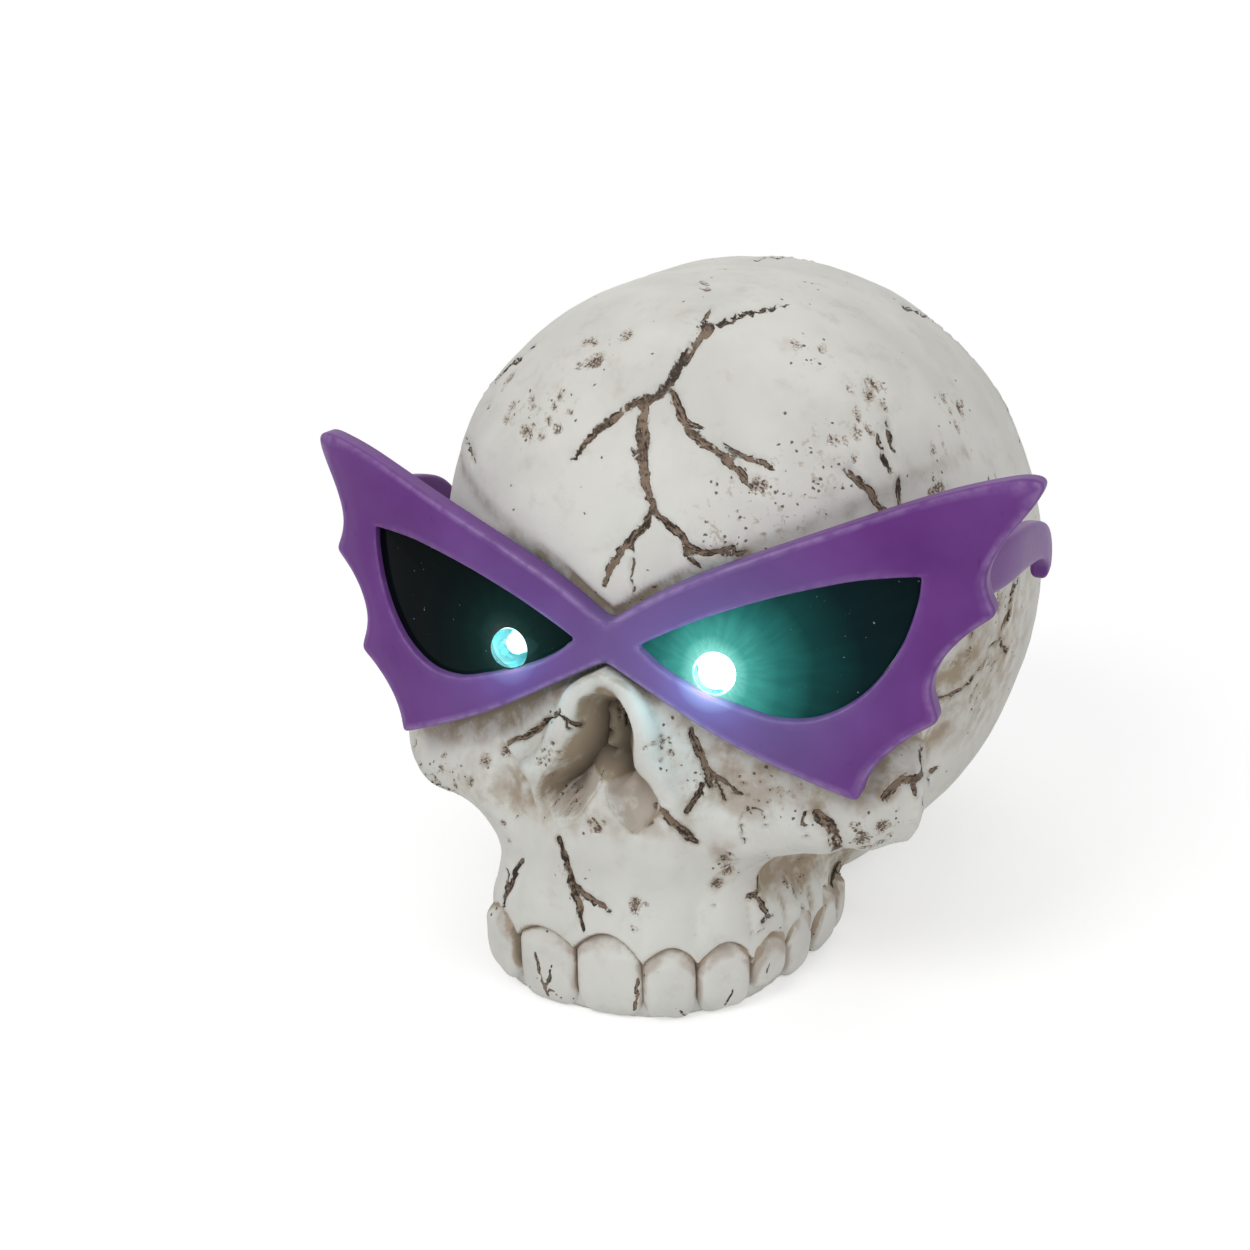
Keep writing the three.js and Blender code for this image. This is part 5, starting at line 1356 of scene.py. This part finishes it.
def build_front(look, material):
    """Rings between the wing's outline and the lens opening, lowered by a quarter round along both edges and
    crowned between them, with a wall and a flat back, bowed by the front's curve and welded to its mirror."""
    whole = rounded(even(full_front_outline(), 2 * FRONT_COLUMNS, closed=True), FRONT_EASE)
    outer = whole[:FRONT_COLUMNS + 1].copy()
    outer[[0, -1], 0] = 0
    lens = rounded(even(half_outline(LENS_STRETCHES), 400, closed=True), LENS_EASE)
    loop = np.vstack([outer, np.linspace(outer[-1], outer[0], 9)[1:-1]])
    inner = matched(loop, lens)
    span = np.linalg.norm(inner - loop, axis=1, keepdims=True)
    rounding = look.edge_rounding / MM
    quarter = 1 - np.cos(np.linspace(0, math.pi / 2, 8))
    edge = np.minimum(rounding, 0.4 * span)
    rim = np.minimum(LENS_EDGE, 0.2 * span)
    steps = [edge * q for q in quarter]
    steps += [edge + (span - rim - edge) * t for t in np.linspace(0, 1, 9)[1:]]
    steps += [span - rim * q for q in quarter[::-2]]
    face = [loop + (inner - loop) / span * d for d in steps]
    flat = np.vstack(face)
    out, lens_side = loop_distance(flat, whole), loop_distance(flat, lens)
    crown = FRONT_CROWN * smooth_step(0.5, 4.0, np.minimum(out, lens_side))
    drop = np.maximum(round_over(out, rounding), round_over(lens_side, LENS_EDGE)) - crown
    # edge_line marks a painted highlight just inside the outer edge and round the lens opening, partly worn
    # paint
    outer_line = 0.75 * np.exp(-((out - 0.6 * rounding) / 0.24) ** 2)
    line = np.maximum(outer_line, 0.35 * np.exp(-((lens_side - 0.15) / 0.2) ** 2))
    rows = [np.concatenate([f, d[:, None]], axis=1) for f, d in zip(face, drop.reshape(len(face), -1))]

    def level(points, depth):
        return np.concatenate([points, np.full((len(points), 1), depth)], axis=1)

    inward = inward_normals(loop) * (loop[:, :1] > 1e-6)
    rows.append(level(inner, FRONT_THICKNESS))
    back = loop + inward * 0.25
    rows += [level(inner * (1 - t) + back * t, FRONT_THICKNESS) for t in np.linspace(0, 1, 5)[1:]]
    rows.append(level(loop, FRONT_THICKNESS - 0.3))
    grid = np.stack(rows)
    rows_count, columns = grid.shape[:2]
    x, z, depth = grid.reshape(-1, 3).T
    points = np.stack([np.maximum(x, 0), front_y(x, z) + depth, z], axis=1)
    faces = [f for f in ring_faces(rows_count, columns, close_rows=True) if points[f, 0].max() > 1e-6]
    lines = np.concatenate([line, np.zeros(len(points) - len(line))])
    marked = np.column_stack([points, lines])
    both, all_faces = joined([(marked, faces), (marked * [-1, 1, 1, 1], [f[::-1] for f in faces])])
    both, all_faces = welded(both, all_faces)
    return add_piece(
        "glasses_front_moulding", both[:, :3], all_faces, [material], ["glasses_front"],
        fields={"edge_line": both[:, 3]}, sharp=38,
    )


def welded(points, faces):
    """The skin with points at one place made one, and faces that lose a corner made smaller or dropped."""
    keys = np.round(points * 1e4).astype(np.int64)
    _, first, back = np.unique(keys, axis=0, return_index=True, return_inverse=True)
    back = back.ravel()
    kept = []
    for face in faces:
        ring = [int(back[i]) for i in face]
        ring = [v for i, v in enumerate(ring) if v != ring[i - 1]]
        if len(set(ring)) == len(ring) >= 3:
            kept.append(ring)
    return points[first], kept


LENS_RINGS = 14
LENS_GAP = 0.06
LENS_DOME = 0.55


def build_lens(side, look):
    """Rings from the hole round the lamp to the opening's outline, as a domed front, an edge and a back."""
    name = "left" if side > 0 else "right"
    middle = np.array(led_middle(1))
    outline = even(half_outline(LENS_STRETCHES), 160, closed=True)
    outline = outline + inward_normals(outline) * LENS_GAP
    arms = outline - middle
    hole = middle + arms / np.linalg.norm(arms, axis=1, keepdims=True) * (LED_RADIUS + LENS_GAP)
    shares = np.concatenate([np.linspace(0, 1, LENS_RINGS), np.linspace(1, 0, LENS_RINGS)])
    depths = np.repeat([LENS_RECESS, LENS_RECESS + LENS_THICKNESS], LENS_RINGS)
    grid = []
    for share, depth in zip(shares, depths):
        p = hole * (1 - share) + outline * share
        dome = LENS_DOME * (1 - share ** 2) if depth == LENS_RECESS else 0.0
        grid.append(np.stack([p[:, 0], front_y(p[:, 0], p[:, 1]) + depth - dome, p[:, 1]], axis=1))
    grid = np.stack(grid)
    points = grid.reshape(-1, 3) * [side, 1, 1]
    faces = ring_faces(*grid.shape[:2], close_rows=True)
    led = (side * middle[0], led_tip() + 3.0, middle[1])
    # the right lens gets only a twentieth of the painted glow
    painted_glow_strength = look.lens_painted_glow * (0.05 if side < 0 else 1.0)
    material = smoked_acrylic(f"acrylic_smoked_polished_{name}", look, led, painted_glow_strength)
    add_piece(f"lens_{name}_pane", points, faces, [material], [f"lens_{name}"], sharp=35)


def turns(count):
    """Angles of a number of equal steps round a circle."""
    return 2 * math.pi * np.arange(count) / count


ARM_SIDES = 32
ARM_CORNER = 0.45  # power that turns the round section into a rounded rectangle
ARM_TIP = 1.6  # length over which the end is rounded


def build_arm(side, material):
    """A rounded rectangle carried along the arm's route, lower towards the ear hook and with a round tip."""
    name = "left" if side > 0 else "right"
    route = np.array(ARM_ROUTE) * GLASSES_SPAN + [0, BRIDGE_Y, BRIDGE_Z]
    line = through(route, 12)
    knots = np.arange(len(ARM_HEIGHTS))
    height = np.interp(np.linspace(0, knots[-1], len(line)), knots, ARM_HEIGHTS)
    run = run_along(line)
    from_end = run[-1] - run
    tip = np.sqrt(np.clip(1 - (1 - np.clip(from_end / ARM_TIP, 0, 1)) ** 2, 0.0025, 1))
    tangent = np.gradient(line, axis=0)
    tangent /= np.linalg.norm(tangent, axis=1, keepdims=True)
    across = np.cross(tangent, [1.0, 0, 0])
    across /= np.linalg.norm(across, axis=1, keepdims=True)
    sideways = np.cross(across, tangent)
    u, v = (power(wave(turns(ARM_SIDES)), ARM_CORNER) for wave in (np.cos, np.sin))
    grid = (
        line[:, None, :]
        + sideways[:, None, :] * (u * ARM_THICKNESS / 2)[None, :, None] * tip[:, None, None]
        + across[:, None, :] * v[None, :, None] * (height * tip / 2)[:, None, None]
    )
    points, faces = capped(grid)
    add_piece(
        f"temple_arm_{name}_moulding", points * [side, 1, 1], faces, [material],
        [f"temple_arm_{name}"], sharp=50,
    )


# Lamps


def led_tip():
    return LED_LOW.y / MM - FRAME_SHIFT


def led_middle(side):
    """Place of a lamp's axis in x and z."""
    return side * LED_PLACE[0] * GLASSES_SPAN, BRIDGE_Z + LED_PLACE[1] * GLASSES_SPAN


def turned(profile, middle, count):
    """Rings of a profile of radius and depth carried round a line along y."""
    profile = np.asarray(profile, float)
    x = middle[0] + profile[:, :1] * np.cos(turns(count))
    z = middle[1] + profile[:, :1] * np.sin(turns(count))
    return np.stack([x, np.repeat(profile[:, 1:], count, axis=1), z], axis=-1)


FLANGE_RADIUS = 2.9
FLANGE_HEIGHT = 1.15
RING_RADIUS, RING_DEPTH, RING_THICKNESS = 2.2, 2.7, 0.32  # bright ring that the lamp's wall throws
RING_SIDES = 8


def build_led(side, look, shell_material):
    """A half sphere, a barrel and a flange turned about the lamp's axis, round a lit bullet and a ring."""
    name = "left" if side > 0 else "right"
    middle = led_middle(side)
    tip, back = led_tip(), LED_HIGH.y / MM - FRAME_SHIFT
    q = np.linspace(0.03, math.pi / 2, 14)
    dome = [(LED_RADIUS * math.sin(a), tip + LED_RADIUS * (1 - math.cos(a))) for a in q]
    body = [
        (LED_RADIUS, back - FLANGE_HEIGHT), (FLANGE_RADIUS - 0.28, back - 1.0), (FLANGE_RADIUS, back - 0.95),
        (FLANGE_RADIUS, back - 0.1), (FLANGE_RADIUS - 0.1, back), (0.2, back),
    ]
    points, faces = capped(turned(dome + body, middle, 48))
    add_piece(f"led_{name}_lamp", points, faces, [shell_material], [f"led_{name}"], sharp=40)
    # the right lamp is seen from further round, so less of its light comes this way
    inner = LED_RADIUS * (0.5 if side > 0 else 0.3)
    start = tip + (1.8 if side > 0 else 2.8)
    core = [(inner * math.sin(a), start + inner * 0.6 * (1 - math.cos(a))) for a in q]
    core += [(inner * 1.05, tip + 4.6), (inner * 0.5, tip + 5.2), (0.1, tip + 5.3)]
    angles = np.linspace(0, 2 * math.pi, RING_SIDES + 1)[:-1]
    ring = [
        (RING_RADIUS + RING_THICKNESS / 2 * math.cos(a), tip + RING_DEPTH + RING_THICKNESS / 2 * math.sin(a))
        for a in angles
    ]
    hoop = turned(ring, middle, 48)
    points, faces = joined([
        capped(turned(core, middle, 32)), (hoop.reshape(-1, 3), ring_faces(*hoop.shape[:2], close_rows=True))
    ])
    material = lit_phosphor(look, name)
    piece = add_piece(f"led_{name}_lit_core", points, faces, [material], sharp=40)
    piece.visible_diffuse = False
    spill = bpy.data.lights.new(f"led_{name}_spill", "POINT")
    spill.energy = look.spill_power * (1.0 if side > 0 else 0.5)
    spill.color, spill.shadow_soft_size = look.spill_colour, 1.6 * MM
    lamp = bpy.data.objects.new(f"led_{name}_spill", spill)
    lamp.location = (middle[0] * MM, (tip - 2.4 + FRAME_SHIFT) * MM, middle[1] * MM)
    bpy.context.scene.collection.objects.link(lamp)


# Battery and switch


SIDES = ("left", "right")
CARRIED = {
    "tinned_steel": [f"led_{side}_{lead}" for side in SIDES for lead in ("anode", "cathode")],
    "black_pvc": [f"heat_shrink_{side}" for side in SIDES],
    "red_pvc": ["wire_left", "wire_right", "switch_wire"],
    "black_plastic": ["battery_box", "battery_door", "switch_body", "switch_slider"],
    "nickel": ["button_cell_1", "button_cell_2", "button_cell_3", "contact_plate", "contact_spring"],
}


def dress_inner_nodes():
    """Gives each carried-over node the finish of its real material."""
    finishes = {
        # copper-clad steel lead, hot-dip tinned: dull silver that drifts in brightness
        "tinned_steel": plain_finish(
            "steel_tinned_drawn", ("#A9ACAE", "#C2C5C6"), 0.8, (0.28, 0.42), 1.0, 0.05
        ),
        # PVC sleeve, extruded and shrunk: dark and slightly wrinkled
        "black_pvc": plain_finish(
            "pvc_extruded_shrunk_black", ("#1C1C1E", "#29292B"), 1.5, (0.45, 0.6), bump=0.2
        ),
        # PVC insulation, extruded: even red with a soft shine
        "red_pvc": plain_finish("pvc_extruded_red", ("#98211C", "#AD2B24"), 2.5, (0.35, 0.48), bump=0.05),
        # ABS, injection moulded with a spark-eroded texture: fine grain and no clear reflection
        "black_plastic": plain_finish(
            "abs_moulded_textured_black", ("#17171A", "#222226"), 0.35, (0.48, 0.62), bump=0.25
        ),
        # steel strip and cell can, nickel plated: bright and faintly warm
        "nickel": plain_finish("steel_nickel_plated", ("#BDBAB2", "#D0CEC8"), 1.2, (0.18, 0.3), 1.0, 0.04),
    }
    for slot, names in CARRIED.items():
        for name in names:
            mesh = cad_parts[name].data
            mesh.materials.clear()
            mesh.materials.append(finishes[slot])


# Stage

FLOOR_HALF = 3.0  # metres, as the distances below
FADE_START, FADE_END = 0.08, 0.34  # where the floor starts and ends turning into plain white
LAMP_TARGET = (0, 0, 0.04)
LAMPS = [
    ("key", (-0.20, -0.46, 0.52), 0.3),
    ("fill", (0.50, -0.40, 0.35), 0.5),
    ("top", (0.0, 0.15, 0.75), 0.5),
]


def seen_directly(tree):
    """1 for the camera's rays, also by way of a mirror or clear piece, and 0 for rays that give light."""
    path = add_node(tree, "ShaderNodeLightPath").outputs
    seen = path["Is Camera Ray"]
    for other in ("Is Glossy Ray", "Is Transmission Ray"):
        seen = add_node(tree, "ShaderNodeMath", {0: seen, 1: path[other]}, operation="MAXIMUM").outputs[0]
    return seen


def painted_board(look):
    """Board, painted matt: white to the camera with the object's shadow in it, and plain white far off."""
    finish = Finish("board_painted_matt_white", Roughness=0.9, Emission_Color=(1, 1, 1, 1))
    finish.feed(Base_Color=(*look.floor_colour, 1))
    seen = seen_directly(finish.tree)
    finish.feed(Emission_Strength=finish.math("MULTIPLY", seen, look.floor_lift))
    away = finish.vector("LENGTH", finish.place, output="Value")
    fade = finish.math("MULTIPLY", seen, finish.band(away, FADE_START, FADE_END, shape="SMOOTHSTEP"))
    white = finish.add("ShaderNodeEmission", {"Color": (1, 1, 1, 1), "Strength": 1.0}).outputs[0]
    blend = finish.add("ShaderNodeMixShader", {0: fade, 1: finish.shader.outputs[0], 2: white}).outputs[0]
    finish.tree.links.new(blend, finish.tree.nodes["Material Output"].inputs["Surface"])
    return finish.material


def build_stage(look):
    """A wide pale floor, three soft lamps and the camera at the photo's angle."""
    scene = bpy.context.scene
    scene.view_settings.view_transform = "Standard"
    mesh = bpy.data.meshes.new("floor")
    corners = [(x * FLOOR_HALF, y * FLOOR_HALF, 0) for x, y in ((-1, -1), (1, -1), (1, 1), (-1, 1))]
    mesh.from_pydata(corners, [], [(0, 1, 2, 3)])
    mesh.materials.append(painted_board(look))
    floor = bpy.data.objects.new("floor", mesh)
    scene.collection.objects.link(floor)
    world = bpy.data.worlds.new("studio")
    world.use_nodes = True
    scene.world = world
    tree = world.node_tree
    background = tree.nodes["Background"]
    inputs = {0: seen_directly(tree), 1: 0.0, 2: 1.0, 3: look.world_level, 4: 1.0}
    level = add_node(tree, "ShaderNodeMapRange", inputs)
    background.inputs["Color"].default_value = (1, 1, 1, 1)
    tree.links.new(level.outputs[0], background.inputs["Strength"])
    for name, place, width in LAMPS:
        light = bpy.data.lights.new(name, "AREA")
        light.energy, light.size = getattr(look, f"{name}_power"), width
        lamp = bpy.data.objects.new(name, light)
        x, y, z = np.array(LAMP_TARGET) - place
        lamp.rotation_euler = math.atan2(math.hypot(x, y), -z), 0, math.atan2(x, -y) + math.pi
        lamp.location = place
        scene.collection.objects.link(lamp)
    right, up, forward = camera_axes()
    camera = bpy.data.cameras.new("camera")
    camera.lens, camera.sensor_width = FOCAL_PIXELS / IMAGE_PIXELS * SENSOR_WIDTH, SENSOR_WIDTH
    camera.clip_start, camera.clip_end = 0.01, 20
    holder = bpy.data.objects.new("camera", camera)
    x, y, z = CAMERA_PLACE
    turn = Matrix(np.stack([right, up, -forward], axis=1).tolist()).to_4x4()
    turn.translation = (x * MM, (y + FRAME_SHIFT) * MM, z * MM)
    holder.matrix_world = turn
    scene.collection.objects.link(holder)
    scene.camera = holder


# Properties, operators and panel


def colour(name, description, hex_value):
    return bpy.props.FloatVectorProperty(
        name=name, description=description, subtype="COLOR", size=3, min=0, max=1, default=srgb(hex_value),
    )


def length(name, description, millimetres):
    return bpy.props.FloatProperty(
        name=name, description=description, unit="LENGTH", subtype="DISTANCE", min=0, precision=5,
        default=millimetres * MM,
    )


def amount(name, description, value, high=100.0):
    return bpy.props.FloatProperty(name=name, description=description, min=0, max=high, default=value)


class SkullLook(bpy.types.PropertyGroup):
    bone_colour: colour("Bone", "Paint of the casting", "#D6D5CF")
    bone_highlight: colour("Bone highlight", "Lighter patches of the paint", "#E3E2DC")
    # wash colour, also used for the painted shadow under the sunglasses and the painted shade in the nasal
    # opening
    wash_and_shade_colour: colour("Wash", "Antiquing wash left in low places", "#A5957F")
    # deep colour: the deepest wash, and painted shade in the nasal opening
    deep_wash_and_shade_colour: colour("Deep wash", "Antiquing wash where it stood in the deepest places", "#5F584C")
    stain_colour: colour("Stain", "Pinkish brown stains", "#AA998A")
    crack_colour: colour("Crack", "Dark bed of the cracks", "#33281F")
    strand_colour: colour("Strand", "Lighter strands in the cracks", "#8F7B69")
    crack_depth: length("Crack depth", "Depth of the carved cracks", 0.6)
    crack_lip: length("Crack lip", "Height of the raised edges beside a crack", 0.16)
    unevenness: amount("Unevenness", "Strength of the hand-worked unevenness", 1.0)


class GlassesLook(bpy.types.PropertyGroup):
    plastic_colour: colour("Plastic", "Body of the sunglasses", "#602A7A")
    plastic_highlight: colour("Plastic highlight", "Lighter drift of the plastic", "#6F3B8A")
    # edge colour: a painted highlight along the edges, partly worn paint
    edge_wear_and_highlight_colour: colour("Edge", "Thin worn line along the edges", "#A283B8")
    edge_rounding: length("Edge rounding", "Radius of the outer edges", 0.6)
    lens_colour: colour("Lens", "Smoked lens", "#05090A")
    lens_tint: colour("Lens tint", "Cloudy drift of the smoked lens", "#090F10")
    # strength of the painted glow of the lamp on a lens, given as emission
    lens_painted_glow: amount("Lens glow", "Brightness of the lamp's light inside a lens", 1.0)


class LampLook(bpy.types.PropertyGroup):
    light_colour: colour("Light", "Colour of the lit lamp", "#C8FFFB")
    light_rim_colour: colour("Light rim", "Colour at the lit lamp's edge", "#38D8E8")
    light_strength: amount("Light strength", "Brightness of the lit core", 5.0)
    spill_colour: colour("Spill", "Light that falls on the plastic and skull nearby", "#7CDDF2")
    spill_power: amount("Spill power", "Power of the light that falls nearby, in watts", 0.0016)


class StageLook(bpy.types.PropertyGroup):
    floor_colour: colour("Floor", "Colour of the floor", "#EDEDED")
    floor_lift: amount("Floor lift", "White added to the floor for the camera", 0.42)
    world_level: amount("Room light", "Brightness of the room round the object", 0.42)
    key_power: amount("Key power", "Power of the lamp in front on the left, in watts", 1.3)
    fill_power: amount("Fill power", "Power of the lamp on the right, in watts", 0.8)
    top_power: amount("Top power", "Power of the lamp above, in watts", 0.75)


class ORNAMENT_OT_stage(bpy.types.Operator):
    """Camera, floor and lamps"""

    bl_idname = "ornament.stage"
    bl_label = "Stage"

    def execute(self, context):
        build_stage(context.scene.ornament_stage)
        return {"FINISHED"}


class ORNAMENT_OT_skull(bpy.types.Operator):
    """Cast skull with its cracks, and its upper teeth"""

    bl_idname = "ornament.skull"
    bl_label = "Skull and teeth"

    def execute(self, context):
        build_skull(context.scene.ornament_skull)
        return {"FINISHED"}


class ORNAMENT_OT_glasses(bpy.types.Operator):
    """Front, arms and lenses of the sunglasses"""

    bl_idname = "ornament.glasses"
    bl_label = "Sunglasses"

    def execute(self, context):
        look = context.scene.ornament_glasses
        material = moulded_purple(look)
        build_front(look, material)
        for side in (1, -1):
            build_arm(side, material)
            build_lens(side, look)
        return {"FINISHED"}


class ORNAMENT_OT_lamps(bpy.types.Operator):
    """Clear lamps with their lit cores"""

    bl_idname = "ornament.lamps"
    bl_label = "Lamps"

    def execute(self, context):
        look = context.scene.ornament_lamps
        shell = clear_epoxy()
        for side in (1, -1):
            build_led(side, look, shell)
        return {"FINISHED"}


class ORNAMENT_OT_inner(bpy.types.Operator):
    """Finishes of the battery compartment, switch, wires and contacts"""

    bl_idname = "ornament.inner"
    bl_label = "Battery and switch"

    def execute(self, context):
        dress_inner_nodes()
        return {"FINISHED"}


class ORNAMENT_PT_panel(bpy.types.Panel):
    bl_label = "Light-up skull ornament"
    bl_idname = "ORNAMENT_PT_panel"
    bl_space_type = "VIEW_3D"
    bl_region_type = "UI"
    bl_category = "Ornament"

    def draw(self, context):
        for look, operators in PANEL_ROWS:
            box = self.layout.box()
            if look:
                group = getattr(context.scene, look)
                for name in group.__annotations__:
                    box.prop(group, name)
            for operator in operators:
                box.operator(operator)


PANEL_ROWS = [
    ("ornament_stage", ["ornament.stage"]),
    ("ornament_skull", ["ornament.skull"]),
    ("ornament_glasses", ["ornament.glasses"]),
    ("ornament_lamps", ["ornament.lamps"]),
    (None, ["ornament.inner"]),
]
LOOKS = {
    "ornament_skull": SkullLook, "ornament_glasses": GlassesLook, "ornament_lamps": LampLook,
    "ornament_stage": StageLook,
}
CLASSES = [
    *LOOKS.values(), ORNAMENT_OT_stage, ORNAMENT_OT_skull, ORNAMENT_OT_glasses, ORNAMENT_OT_lamps,
    ORNAMENT_OT_inner, ORNAMENT_PT_panel,
]


def register():
    for cls in CLASSES:
        bpy.utils.register_class(cls)
    for name, cls in LOOKS.items():
        setattr(bpy.types.Scene, name, bpy.props.PointerProperty(type=cls))


def unregister():
    for name in LOOKS:
        delattr(bpy.types.Scene, name)
    for cls in reversed(CLASSES):
        bpy.utils.unregister_class(cls)


def main():
    register()
    bpy.ops.ornament.stage()
    bpy.ops.ornament.skull()
    bpy.ops.ornament.glasses()
    bpy.ops.ornament.lamps()
    bpy.ops.ornament.inner()


if __name__ == "__main__":
    main()
